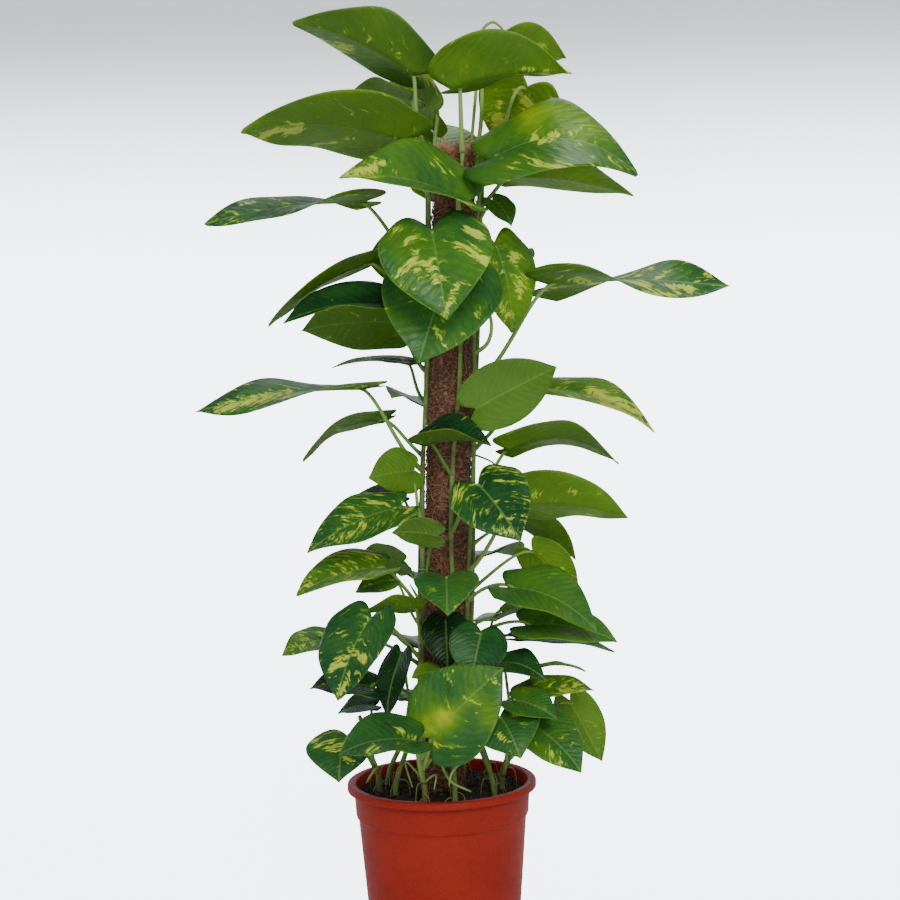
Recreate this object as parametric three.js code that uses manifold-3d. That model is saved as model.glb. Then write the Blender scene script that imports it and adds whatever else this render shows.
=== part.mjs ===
// A potted golden pothos on a coir pole, in millimetres: +Z is up, the front is towards -Y and
// the origin is the middle of the pot's flat underside.
import * as THREE from 'three';
import { mergeVertices } from 'three/addons/utils/BufferGeometryUtils.js';
import Module from 'manifold-3d';

const wasm = await Module();
wasm.setup();

// Driving dimensions.
const POT_HEIGHT = 174;
const POT_FOOT_RADIUS = 72.5;
const POT_STEP_RADIUS = 84.5;
const POT_STEP_HEIGHT = 140;
const POT_COLLAR_RADIUS = 88.5;
const POT_RIM_RADIUS = 95;
const POT_LIP_DEPTH = 7;
const POT_WALL = 2;
const POT_SIDES = 32;
const DRAIN_HOLES = 8;
const DRAIN_RADIUS = 6;
const DRAIN_CIRCLE = 49.3;
const SOIL_HEIGHT = 162;
const POLE_FOOT_X = -9;
const POLE_LEAN = 0.049;
const COIR_RADIUS = 23.4;
const COIR_BOTTOM = 50;
const COIR_TOP = 806;
const STAKE_RADIUS = 10;
const STAKE_BOTTOM = 14;
const STAKE_TOP = 796;
const CLEARANCE = 0.4;
const STAPLE_DEPTH = 9;
const STAPLE_SLACK = 0.4;
const VINE_FOOT_RISE = 12;
const CLIMBING_HEIGHT = 320;
const BLADE_THICKNESS = 1;
const STEM_RADIUS = 2.7;
const STEM_TAPER = 0.3;
const STEM_FOOT = 122;
const PETIOLE_RADIUS = 1.1;
const PIN_WIRE_RADIUS = 0.7;

// The leaf places are read in the upright plane through the pole, as seen from this point, and
// each is moved along its line of sight to its own depth.
const EYE = new THREE.Vector3(17, -1333, 505);

// The blade's outline along its midrib, from 0 at the stalk to 1 at the tip: how wide it starts as
// a share of its full width, where it is widest, how full it stays towards the tip, and how far
// its two lobes reach back past the stalk as a share of its length.
const BLADE_BASE_WIDTH = 0.82;
const BLADE_WIDEST = 0.28;
const BLADE_TAPER = 2.1;
const LOBE = 0.15;

// Where along the midrib and across the half widths a blade has its corners. Blades narrower than
// SMALL_BLADE have fewer.
const BLADE_STATIONS = [0, 0.12, 0.32, 0.58, 0.82, 1];
const SMALL_STATIONS = [0, 0.2, 0.5, 0.8, 1];
const BLADE_COLUMNS = [-1, -0.58, 0, 0.58, 1];
const SMALL_BLADE = 89;
const LONG_STALK = 95;

const UP = new THREE.Vector3(0, 0, 1);
const rad = THREE.MathUtils.degToRad;
const at = (x, y, z) => new THREE.Vector3(x, y, z);

// Each vine: its azimuth on the pole (0 is the front, 90 the right), the height of its tip, the
// radius at which it leaves the soil, and its leaves. A leaf is
// [name, height of its joint on the stem, base x, z, depth, tip x, z, depth, width,
//  tilt of its face towards the front, turn of that tilt, fold, arch, twist]. A shoot is an aerial
// root or an unopened leaf: [height of its joint on the stem, radius, then places as x, z, depth].
const VINES = [
  {
    azimuth: -62, top: 812, foot: 50,
    leaves: [
      ['a1', 805, -10, 884, -22, -131, 940, -60, 96, -15, 0, 14, 10, 0],
      ['a6', 762, -21, 818, -25, -186, 830, -70, 110, -21, 0, 5, 14, 0],
      ['a9', 671, -66, 757, -50, -225, 739, -80, 85, 24, 0, 5, 6, 28],
      ['b6', 606, -35, 650, -25, -148, 637, -40, 75, 27, 0, 18, 10, 0],
      ['c1', 485, -70, 569, -35, -239, 550, -55, 85, 20, 0, 5, 6, 25],
      ['d3', 409, -35, 448, -50, -130, 405, -80, 70, 32, 0, 5, 8, 0],
      ['d5', 349, -54, 387, -45, -142, 362, -80, 65, 23, 0, 14, 8, 0],
      ['e1', 298, -66, 339, -75, -103, 255, -110, 75, 65, -30, 10, 8, 0],
      ['d1', 434, -20, 486, -30, -66, 479, -12, 50, -75, 0, 0, 5, 0],
      ['d4', 362, 3, 419, -86, -44, 423, -82, 34, -60, 0, 0, 5, 0],
      ['d7', 329, -44, 375, -35, -82, 364, -40, 30, 40, 0, 8, 3, 0],
      ['d9', 313, -19, 347, -50, -76, 342, -62, 42, -30, 0, 5, 5, 0],
      ['e5', 241, -37, 300, -44, -53, 236, -56, 38, 80, -40, 8, 5, 0],
    ],
    shoots: [
      [350, 1.8, [-27, 371, -18]],
    ],
  },
  {
    azimuth: -108, top: 806, foot: 56,
    leaves: [
      ['a7a', 792, -14, 859, 16, -77, 861, 46, 60, -15, 0, 5, 6, 0],
      ['b5', 636, -58, 697, -20, -163, 634, -35, 60, -8, 0, 5, 8, 0],
      ['b7', 586, -32, 635, 5, -130, 629, 25, 75, -50, 0, 0, 8, 0],
      ['b8', 555, -21, 592, 10, -100, 591, 30, 50, 10, 0, 8, 6, 0],
      ['c2', 500, -48, 537, 4, -132, 497, -8, 60, -12, 0, 5, 12, 0],
      ['d2', 429, -33, 459, 10, -95, 449, 22, 40, 30, 0, 5, 6, 0],
      ['d6', 369, -34, 393, -10, -79, 397, 10, 45, -50, 0, 0, 5, 0],
      ['e2', 288, -108, 317, -50, -158, 302, -70, 45, 25, 0, 8, 5, 0],
      ['e3', 253, -66, 267, -45, -131, 268, -60, 55, 25, 0, 10, 6, 0],
      ['b3', 656, -16, 696, -12, -63, 697, 4, 60, -60, 0, 0, 6, 0],
    ],
  },
  {
    azimuth: 14, top: 812, foot: 58,
    leaves: [
      ['a2', 799, 29, 868, -45, 150, 881, -78, 104, -12, 0, 24, 8, 0],
      ['a8', 729, 38, 754, -62, -88, 782, -95, 96, 42, 0, 22, 12, 0],
      ['b1', 666, 4, 728, -85, 17, 636, -125, 106, 75, 0, 8, 10, 0],
      ['b2', 626, 24, 688, -50, -12, 593, -95, 116, 60, 0, 5, 10, 0],
      ['c8', 480, -9, 510, -48, 59, 508, -76, 50, 20, 0, 38, 6, 0],
      ['c7', 424, 44, 470, -70, 86, 411, -115, 76, 65, 0, 8, 8, 0],
      ['d8', 329, 10, 376, -70, 10, 338, -118, 62, 45, 0, 10, 8, 0],
      ['g1', 293, 8, 334, -45, 9, 285, -62, 48, 70, 0, 8, 6, 0],
    ],
  },
  {
    azimuth: 60, top: 800, foot: 60,
    leaves: [
      ['a5', 767, 64, 794, -42, 214, 777, -56, 122, 46, 0, 4, 34, 0],
      ['b4', 646, 67, 713, -11, 82, 621, -9, 74, 80, 35, 8, 8, 0],
      ['c3', 510, 44, 546, -60, 127, 586, -85, 64, -80, 0, 5, 8, 0],
      ['c6', 384, 83, 446, -35, 195, 432, -60, 86, -36, 0, 16, 8, 0],
      ['h3', 354, 72, 364, -70, 160, 318, -105, 70, 30, 0, 12, 14, 0],
      ['h4', 313, 89, 326, -60, 181, 307, -82, 60, 30, 0, 10, 8, 0],
      ['a11', 732, 66, 756, -14, 85, 729, -22, 34, 30, 0, 5, 4, 0],
      ['h6', 273, 66, 340, -32, 101, 345, -16, 36, -40, 0, 5, 4, 0],
    ],
    shoots: [
      [600, 2.5, [57, 611, -22], [62, 626, -24], [60, 642, -22], [50, 656, -16]],
    ],
  },
  {
    azimuth: 104, top: 808, foot: 52,
    leaves: [
      ['a4', 792, 105, 870, 37, 73, 809, 86, 88, -65, 0, 5, 8, 0],
      ['a5b', 752, 80, 778, 14, 209, 756, 8, 84, -14, 0, 10, 8, 0],
      ['b10', 571, 125, 668, 4, 304, 663, -34, 90, 23, 0, 5, 6, -49],
      ['c4', 505, 107, 561, -20, 224, 517, -50, 70, 20, 0, 10, 16, 0],
      ['c5', 455, 77, 503, -20, 187, 486, -40, 75, -20, 0, 8, 20, 0],
      ['h2', 409, 88, 433, 14, 141, 391, 30, 42, -30, 0, 5, 8, 0],
      ['h1', 364, 97, 402, -8, 141, 348, 12, 50, -50, 0, 5, 6, 0],
      ['h5', 303, 83, 312, -30, 178, 297, -45, 45, 10, 0, 10, 6, 0],
    ],
    shoots: [
      [500, 1.2, [61, 490, 4], [68, 472, -2]],
    ],
  },
  {
    azimuth: -152, top: 806, foot: 46,
    leaves: [
      ['a10', 757, 21, 791, 42, 14, 836, 108, 82, -30, 0, 5, 8, 0],
      ['k1', 717, 14, 757, 50, -21, 794, 140, 80, 10, 180, 8, 8, 0],
      ['k3', 606, 16, 666, 50, -14, 687, 150, 80, 20, 180, 8, 8, 0],
      ['k7', 394, -5, 435, 50, -27, 441, 130, 70, 20, 180, 8, 8, 0],
      ['k8', 273, -8, 304, 50, -38, 315, 130, 70, 20, 180, 8, 8, 0],
      ['a7b', 797, 12, 846, 22, -40, 872, 60, 80, -40, 0, 5, 8, 0],
      ['k12', 505, -2, 546, 50, -40, 559, 128, 72, 20, 180, 8, 8, 0],
      ['k15', 334, -1, 369, 48, -37, 380, 118, 66, 20, 180, 8, 8, 0],
    ],
  },
  {
    azimuth: 150, top: 806, foot: 46,
    leaves: [
      ['a3', 805, 63, 885, 46, 145, 897, 84, 94, -25, 0, 12, 10, 0],
      ['k2', 732, 65, 778, 45, 136, 817, 129, 80, 15, 180, 8, 8, 0],
      ['k4', 656, 67, 693, 45, 92, 680, 130, 70, 15, 180, 8, 8, 0],
      ['k5', 525, 54, 554, 45, 81, 562, 140, 80, 20, 180, 8, 8, 0],
      ['k6', 414, 51, 449, 50, 71, 453, 140, 76, 20, 180, 8, 8, 0],
      ['k9', 313, 58, 332, 45, 124, 336, 120, 76, 20, 180, 8, 8, 0],
      ['k14', 364, 42, 393, 48, 85, 396, 120, 70, 20, 180, 8, 8, 0],
    ],
    shoots: [
      [798, 1.8, [56, 896, 18], [59, 924, 12], [70, 935, 10], [79, 930, 10], [86, 920, 12]],
    ],
  },
  {
    azimuth: -14, top: 232, foot: 62,
    leaves: [
      ['f2', 187, -24, 212, -112, -104, 200, -130, 74, 20, 0, 13, 8, 0],
      ['f3', 200, -8, 216, -90, 65, 284, -98, 88, 62, 0, 8, 8, 0],
      ['f4', 211, 60, 235, -80, 80, 192, -110, 66, 50, 0, 8, 8, 0],
      ['g2', 233, 44, 321, -68, 32, 271, -86, 56, 65, 0, 8, 6, 0],
      ['e6', 223, -1, 281, -55, -28, 276, -70, 26, 40, 0, 8, 3, 0],
    ],
    shoots: [
      [198, 1.7, [-5, 196, -66], [8, 172, -70], [29, 160, -74]],
      [226, 1.7, [36, 208, -80], [12, 182, -86], [7, 166, -82]],
      [190, 1.2, [-36, 192, -64], [-30, 166, -72]],
      [186, 1.2, [-6, 178, -72], [-8, 163, -78]],
    ],
  },
  {
    azimuth: -88, top: 240, foot: 62,
    leaves: [
      ['f1', 187, -93, 219, -75, -103, 173, -112, 72, 50, -20, 8, 8, 0],
      ['e3b', 208, -65, 249, -35, -103, 242, -40, 40, 15, 0, 8, 4, 0],
      ['k10', 203, -40, 254, 30, -80, 265, 90, 60, 20, 180, 8, 6, 0],
    ],
    shoots: [
      [182, 1.8, [-66, 186, -22], [-76, 172, -26]],
    ],
  },
  {
    azimuth: 84, top: 236, foot: 62,
    leaves: [
      ['h8', 223, 60, 288, -55, 107, 270, -76, 44, 25, 0, 10, 8, 0],
      ['h9', 228, 98, 283, -30, 148, 278, -42, 36, -10, 0, 8, 5, 0],
      ['h10', 208, 81, 256, -45, 156, 259, -66, 46, 20, 0, 10, 5, 0],
      ['h11', 177, 73, 251, -74, 118, 230, -96, 44, 30, 0, 10, 5, 0],
      ['h12', 192, 131, 250, -35, 162, 187, -42, 44, -70, 0, 5, 5, 0],
      ['h13', 187, 90, 227, -62, 141, 176, -96, 60, 35, 0, 8, 8, 0],
    ],
  },
];

// The wire staples: the vine each one holds, and its height.
const PINS = [[3, 458], [3, 381], [1, 387], [4, 450], [2, 725], [4, 705]];

// A closed solid from corner points and triangles.
function solid(points, faces) {
  const mesh = new wasm.Mesh({
    numProp: 3,
    vertProperties: new Float32Array(points.flatMap((p) => [p.x, p.y, p.z])),
    triVerts: new Uint32Array(faces.flat()),
  });
  return new wasm.Manifold(mesh);
}

// A closed solid from a three.js geometry, moved by a matrix when one is given.
function solidOf(geometry, matrix = new THREE.Matrix4()) {
  const bare = new THREE.BufferGeometry();
  bare.setAttribute('position', geometry.getAttribute('position').clone());
  if (geometry.index) bare.setIndex(geometry.index.clone());
  const merged = mergeVertices(bare.applyMatrix4(matrix), 1e-4);
  const place = merged.getAttribute('position');
  const points = [];
  for (let i = 0; i < place.count; i += 1) points.push(new THREE.Vector3().fromBufferAttribute(place, i));
  const faces = [];
  for (let i = 0; i < merged.index.count; i += 3) {
    const [a, b, c] = [0, 1, 2].map((k) => merged.index.getX(i + k));
    if (a !== b && b !== c && c !== a) faces.push([a, b, c]);
  }
  return solid(points, faces);
}

function geometryOf(body) {
  const mesh = body.getMesh();
  const place = new Float32Array(mesh.numVert * 3);
  for (let i = 0; i < mesh.numVert; i += 1) {
    for (let k = 0; k < 3; k += 1) place[3 * i + k] = mesh.vertProperties[i * mesh.numProp + k];
  }
  const geometry = new THREE.BufferGeometry();
  geometry.setAttribute('position', new THREE.BufferAttribute(place, 3));
  geometry.setIndex([...mesh.triVerts]);
  geometry.computeVertexNormals();
  return geometry;
}

const fuse = (bodies) => bodies.reduce((whole, body) => whole.add(body));
const cut = (body, tools) => tools.reduce((rest, tool) => rest.subtract(tool), body);

// A solid of revolution from [radius, height] corners, listed from the foot outwards and up.
function turned(corners, sides) {
  const profile = [...corners, corners[0]].map(([r, z]) => new THREE.Vector2(r, z));
  const standing = new THREE.Matrix4().makeRotationX(Math.PI / 2);
  return solidOf(new THREE.LatheGeometry(profile, sides), standing);
}

// A rod of changing radius along a row of points, closed at both ends.
function rod(points, radii, sides) {
  const rings = [];
  let side = new THREE.Vector3();
  points.forEach((point, i) => {
    const before = points[Math.max(i - 1, 0)];
    const after = points[Math.min(i + 1, points.length - 1)];
    const along = after.clone().sub(before).normalize();
    if (i === 0) side = Math.abs(along.z) < 0.9 ? UP.clone().cross(along) : at(1, 0, 0);
    side = side.clone().addScaledVector(along, -side.dot(along)).normalize();
    const across = along.clone().cross(side);
    for (let k = 0; k < sides; k += 1) {
      const angle = (2 * Math.PI * k) / sides;
      const spoke = side.clone().multiplyScalar(Math.cos(angle)).addScaledVector(across, Math.sin(angle));
      rings.push(point.clone().addScaledVector(spoke, radii[i]));
    }
  });
  const faces = [];
  for (let i = 0; i + 1 < points.length; i += 1) {
    for (let k = 0; k < sides; k += 1) {
      const a = i * sides + k;
      const b = i * sides + ((k + 1) % sides);
      faces.push([a, b, b + sides], [a, b + sides, a + sides]);
    }
  }
  const last = (points.length - 1) * sides;
  for (let k = 1; k + 1 < sides; k += 1) {
    faces.push([0, k + 1, k], [last, last + k, last + k + 1]);
  }
  return solid(rings, faces);
}

const poleAxis = (z) => at(POLE_FOOT_X + POLE_LEAN * z, 0, z);

// A place read in the plane of the pole, moved along the line of sight to its depth.
function sighted(x, z, depth) {
  const reach = (depth - EYE.y) / -EYE.y;
  return at(x, 0, z).sub(EYE).multiplyScalar(reach).add(EYE);
}

// Half width of the blade at a station, as a share of its full half width.
function bladeWidth(t) {
  if (t < BLADE_WIDEST) return 1 - (1 - BLADE_BASE_WIDTH) * Math.pow(1 - t / BLADE_WIDEST, 2);
  return 1 - Math.pow((t - BLADE_WIDEST) / (1 - BLADE_WIDEST), BLADE_TAPER);
}

// The midsurface of a blade: a point and its normal at a station along and a share across.
function bladeSurface(leaf) {
  const run = leaf.tip.clone().sub(leaf.base);
  const length = run.length();
  const along = run.normalize();
  const tilt = rad(leaf.tilt);
  const turn = rad(leaf.turn);
  const facing = at(Math.sin(turn) * Math.sin(tilt), -Math.cos(turn) * Math.sin(tilt), Math.cos(tilt));
  const normal = facing.addScaledVector(along, -facing.dot(along)).normalize();
  const side = along.clone().cross(normal);
  const point = (t, u) => {
    const lobe = LOBE * Math.pow(1 - t, 3) * Math.sin(Math.PI * Math.abs(u));
    const forward = length * (t - lobe);
    const reach = 0.5 * leaf.width * bladeWidth(t) * u;
    const rise = leaf.arch * 4 * t * (1 - t) + Math.abs(reach) * Math.tan(rad(leaf.fold));
    const wave = 0.022 * leaf.width * u * u * Math.sin(9 * t + 2.2 * u + leaf.phase);
    const roll = rad(leaf.twist) * (2 * t - 1);
    const lift = rise + wave;
    const x = reach * Math.cos(roll) - lift * Math.sin(roll);
    const y = reach * Math.sin(roll) + lift * Math.cos(roll);
    return leaf.base.clone().addScaledVector(along, forward).addScaledVector(side, x).addScaledVector(normal, y);
  };
  const facingAt = (t, u) => {
    const t0 = Math.max(t - 0.02, 0);
    const t1 = Math.min(t + 0.02, 0.98);
    const lengthwise = point(Math.max(t1, t0 + 0.01), u).sub(point(t0, u));
    const crosswise = point(Math.min(t, 0.96), u + 0.02).sub(point(Math.min(t, 0.96), u - 0.02));
    return crosswise.cross(lengthwise).normalize();
  };
  return { point, facingAt };
}

// A blade as a closed shell: the same grid on both faces, split alike, and a rim between them.
function blade(leaf) {
  const { point, facingAt } = bladeSurface(leaf);
  const stations = leaf.width < SMALL_BLADE ? SMALL_STATIONS : BLADE_STATIONS;
  const columns = BLADE_COLUMNS.length;
  const rows = stations.length - 1;
  const upper = [];
  const lower = [];
  const drop = (t, u) => {
    const middle = point(t, u);
    const half = facingAt(t, u).multiplyScalar(0.5 * BLADE_THICKNESS);
    upper.push(middle.clone().add(half));
    lower.push(middle.clone().sub(half));
  };
  for (let i = 0; i < rows; i += 1) BLADE_COLUMNS.forEach((u) => drop(stations[i], u));
  drop(1, 0);
  const tip = rows * columns;
  const far = tip + 1;
  const faces = [];
  const both = (a, b, c) => faces.push([a, b, c], [far + a, far + c, far + b]);
  const rim = (a, b) => faces.push([a, far + a, far + b], [a, far + b, b]);
  for (let i = 0; i < rows; i += 1) {
    for (let k = 0; k + 1 < columns; k += 1) {
      const a = i * columns + k;
      if (i + 1 === rows) {
        both(a, a + 1, tip);
      } else if (k < columns / 2 - 1) {
        both(a, a + 1, a + columns + 1);
        both(a, a + columns + 1, a + columns);
      } else {
        both(a, a + 1, a + columns);
        both(a + 1, a + columns + 1, a + columns);
      }
    }
  }
  for (let k = 0; k + 1 < columns; k += 1) rim(k, k + 1);
  for (let i = 0; i < rows; i += 1) {
    const right = i * columns + columns - 1;
    const left = i * columns;
    rim(right, i + 1 === rows ? tip : right + columns);
    rim(i + 1 === rows ? tip : left + columns, left);
  }
  return solid([...upper, ...lower], faces);
}

// The stem of a vine: upright in its soil hole, then leaning in to climb along the pole.
function stemPath(vine) {
  const turn = rad(vine.azimuth);
  const out = at(Math.sin(turn), -Math.cos(turn), 0);
  const climb = COIR_RADIUS + CLEARANCE + STEM_RADIUS + 0.8;
  const foot = poleAxis(SOIL_HEIGHT).addScaledVector(out, vine.foot);
  const points = [at(foot.x, foot.y, STEM_FOOT), at(foot.x, foot.y, SOIL_HEIGHT + VINE_FOOT_RISE)];
  if (vine.top > CLIMBING_HEIGHT) {
    points.push(poleAxis(215).addScaledVector(out, 0.45 * vine.foot + 0.55 * climb));
    for (let z = 265; z < vine.top - 30; z += 75) {
      const sway = rad(vine.azimuth + 7 * Math.sin(0.021 * z + vine.azimuth));
      points.push(poleAxis(z).add(at(Math.sin(sway), -Math.cos(sway), 0).multiplyScalar(climb)));
    }
    points.push(poleAxis(vine.top).addScaledVector(out, climb + 3));
  } else {
    points.push(at(foot.x + 6 * out.x, foot.y + 6 * out.y, 0.55 * SOIL_HEIGHT + 0.45 * vine.top));
    points.push(at(foot.x + 18 * out.x, foot.y + 18 * out.y, vine.top));
  }
  return points;
}

// A point on a stem path at a height.
function stemAt(points, z) {
  const above = points.findIndex((p, i) => i > 0 && p.z >= z);
  const k = above < 0 ? points.length - 1 : above;
  const share = THREE.MathUtils.clamp((z - points[k - 1].z) / (points[k].z - points[k - 1].z), 0, 1);
  return points[k - 1].clone().lerp(points[k], share);
}

// A leaf stalk: out and up from the stem, then into the underside of the blade.
function petiole(leaf, start) {
  const end = bladeSurface(leaf).point(0.06, 0);
  const span = end.distanceTo(start);
  const out = end.clone().sub(start).setZ(0).normalize();
  const first = start.clone().addScaledVector(out, 0.3 * span).addScaledVector(UP, 0.22 * span);
  const second = end.clone().addScaledVector(out, -0.22 * span).addScaledVector(UP, 0.1 * span);
  const curve = new THREE.CubicBezierCurve3(start, first, second, end);
  const points = curve.getPoints(span > LONG_STALK ? 4 : 3);
  const radius = PETIOLE_RADIUS + 0.01 * leaf.width;
  const radii = points.map((p, i) => radius * (1.25 - (0.4 * i) / (points.length - 1)));
  return rod(points, radii, leaf.width < SMALL_BLADE ? 3 : 4);
}

function leavesOf(vine) {
  return vine.leaves.map((row, i) => {
    const [name, joint, bx, bz, by, tx, tz, ty, width, tilt, turn, fold, arch, twist] = row;
    const base = sighted(bx, bz, by);
    const tip = sighted(tx, tz, ty);
    return { name, joint, base, tip, width, tilt, turn, fold, arch, twist, phase: 1.7 * i };
  });
}

function vineSolids(vine) {
  const path = stemPath(vine);
  const radii = path.map((p, i) => STEM_RADIUS * (1 - (STEM_TAPER * i) / path.length));
  const bodies = [rod(path, radii, 5)];
  (vine.shoots ?? []).forEach((row) => {
    const [joint, radius, ...places] = row;
    const points = [stemAt(path, joint), ...places.map(([x, z, depth]) => sighted(x, z, depth))];
    bodies.push(rod(points, points.map((p, i) => radius * (1 - (0.4 * i) / points.length)), 4));
  });
  leavesOf(vine).forEach((leaf) => {
    bodies.push(petiole(leaf, stemAt(path, leaf.joint)));
    bodies.push(blade(leaf));
  });
  return bodies;
}

// The pot: a tapered wall with a stepped collar and a rolled lip, on a flat foot.
function pot() {
  const lip = POT_HEIGHT - POT_LIP_DEPTH;
  const shell = turned([
    [0, 0],
    [POT_FOOT_RADIUS - 2, 0],
    [POT_FOOT_RADIUS, 2],
    [POT_STEP_RADIUS, POT_STEP_HEIGHT],
    [POT_STEP_RADIUS + 2, POT_STEP_HEIGHT + 1.5],
    [POT_COLLAR_RADIUS, lip],
    [POT_COLLAR_RADIUS, lip + 5],
    [POT_RIM_RADIUS - 2.4, lip + 5],
    [POT_RIM_RADIUS - 2.4, lip],
    [POT_RIM_RADIUS, lip],
    [POT_RIM_RADIUS, POT_HEIGHT - 1.4],
    [POT_RIM_RADIUS - 1.4, POT_HEIGHT],
    [POT_COLLAR_RADIUS - 1.2, POT_HEIGHT],
    [POT_COLLAR_RADIUS - POT_WALL, POT_HEIGHT - 1.4],
    [POT_COLLAR_RADIUS - POT_WALL, lip],
    [POT_STEP_RADIUS + 2 - POT_WALL, POT_STEP_HEIGHT + 2],
    [POT_STEP_RADIUS - POT_WALL, POT_STEP_HEIGHT + 0.5],
    [POT_FOOT_RADIUS - POT_WALL, POT_WALL + 1],
    [0, POT_WALL + 0.5],
  ], POT_SIDES);
  const drains = [];
  for (let k = 0; k < DRAIN_HOLES; k += 1) {
    const turn = (2 * Math.PI * k) / DRAIN_HOLES;
    const place = new THREE.Matrix4().makeRotationX(Math.PI / 2);
    place.setPosition(DRAIN_CIRCLE * Math.cos(turn), DRAIN_CIRCLE * Math.sin(turn), 0);
    drains.push(solidOf(new THREE.CylinderGeometry(DRAIN_RADIUS, DRAIN_RADIUS, 20, 12), place));
  }
  return cut(shell, drains);
}

// The coir sleeve of the pole, a little lumpy, with a plain bore for the stake.
function coirSleeve() {
  const rings = 10;
  const sides = 16;
  const points = [];
  const wall = [];
  for (let i = 0; i <= rings; i += 1) {
    const z = COIR_BOTTOM + ((COIR_TOP - COIR_BOTTOM) * i) / rings;
    const shrink = [0.8, 0.93][rings - i] ?? 1;
    for (let k = 0; k < sides; k += 1) {
      const turn = (2 * Math.PI * k) / sides;
      const lump = 0.45 * Math.sin(3 * turn + 1.3 * i) + 0.3 * Math.sin(2.1 * i - 2 * turn);
      const radius = shrink * (COIR_RADIUS + lump - 0.4);
      points.push(poleAxis(z).add(at(Math.sin(turn), -Math.cos(turn), 0).multiplyScalar(radius)));
    }
  }
  for (let i = 0; i < rings; i += 1) {
    for (let k = 0; k < sides; k += 1) {
      const a = i * sides + k;
      const b = i * sides + ((k + 1) % sides);
      wall.push([a, b, b + sides], [a, b + sides, a + sides]);
    }
  }
  const last = rings * sides;
  for (let k = 1; k + 1 < sides; k += 1) wall.push([0, k + 1, k], [last, last + k, last + k + 1]);
  return solid(points, wall);
}

const poleRod = (radius, z0, z1, sides) => rod([poleAxis(z0), poleAxis(z1)], [radius, radius], sides);

function stake() {
  const ends = [poleAxis(STAKE_BOTTOM), poleAxis(STAKE_BOTTOM + 30), poleAxis(STAKE_TOP)];
  return rod(ends, [0.35 * STAKE_RADIUS, STAKE_RADIUS, STAKE_RADIUS], 12);
}

// The soil fill: it follows the inside of the pot and has a crumbly top that rises to the pole.
function soilFill() {
  const gap = POT_WALL + CLEARANCE;
  const sides = 24;
  const wall = [
    [POT_FOOT_RADIUS - gap - 0.4, POT_WALL + 1 + CLEARANCE],
    [POT_STEP_RADIUS - gap, POT_STEP_HEIGHT + 0.5],
    [POT_STEP_RADIUS + 1.8 - gap, POT_STEP_HEIGHT + 3],
    [POT_COLLAR_RADIUS - gap - 1, SOIL_HEIGHT],
    [72, SOIL_HEIGHT + 1],
    [50, SOIL_HEIGHT + 2.5],
    [30, SOIL_HEIGHT + 4],
  ];
  const points = [at(0, 0, POT_WALL + 0.5 + CLEARANCE)];
  wall.forEach(([radius, z], i) => {
    for (let k = 0; k < sides; k += 1) {
      const turn = (2 * Math.PI * k) / sides;
      const crumb = i < 4 ? 0 : 1.6 * Math.sin(5 * turn + 2.3 * i) + 1.2 * Math.sin(11 * turn - 1.7 * i);
      points.push(at(radius * Math.cos(turn), radius * Math.sin(turn), z + crumb));
    }
  });
  points.push(at(0, 0, SOIL_HEIGHT + 4));
  const faces = [];
  const last = 1 + (wall.length - 1) * sides;
  for (let k = 0; k < sides; k += 1) {
    const next = (k + 1) % sides;
    faces.push([0, 1 + next, 1 + k], [points.length - 1, last + k, last + next]);
    for (let i = 0; i + 1 < wall.length; i += 1) {
      const a = 1 + i * sides + k;
      const b = 1 + i * sides + next;
      faces.push([a, b, b + sides], [a, b + sides, a + sides]);
    }
  }
  return solid(points, faces);
}

// A wire staple over a stem, with both legs pushed into the coir, and the holes for its legs.
function pinOver(path, z) {
  const stem = stemAt(path, z);
  const axis = poleAxis(z);
  const out = stem.clone().sub(axis).setZ(0).normalize();
  const side = UP.clone().cross(out);
  const half = STEM_RADIUS + CLEARANCE + PIN_WIRE_RADIUS + STAPLE_SLACK;
  const place = (across, away) => stem.clone().addScaledVector(side, across).addScaledVector(out, away);
  const depth = -(STEM_RADIUS + STAPLE_DEPTH);
  const corners = [
    [-half, depth],
    [-half, 0],
    [-0.7 * half, 0.75 * half],
    [0, 1.05 * half],
    [0.7 * half, 0.75 * half],
    [half, 0],
    [half, depth],
  ].map(([across, away]) => place(across, away));
  const wire = rod(corners, corners.map(() => PIN_WIRE_RADIUS), 4);
  const holes = [-half, half].map((across) =>
    rod([place(across, depth - 1), place(across, 2)], [1.2, 1.2], 5));
  return { wire, holes };
}

const material = (colour, roughness) => new THREE.MeshStandardMaterial({ color: colour, roughness, metalness: 0 });

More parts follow.
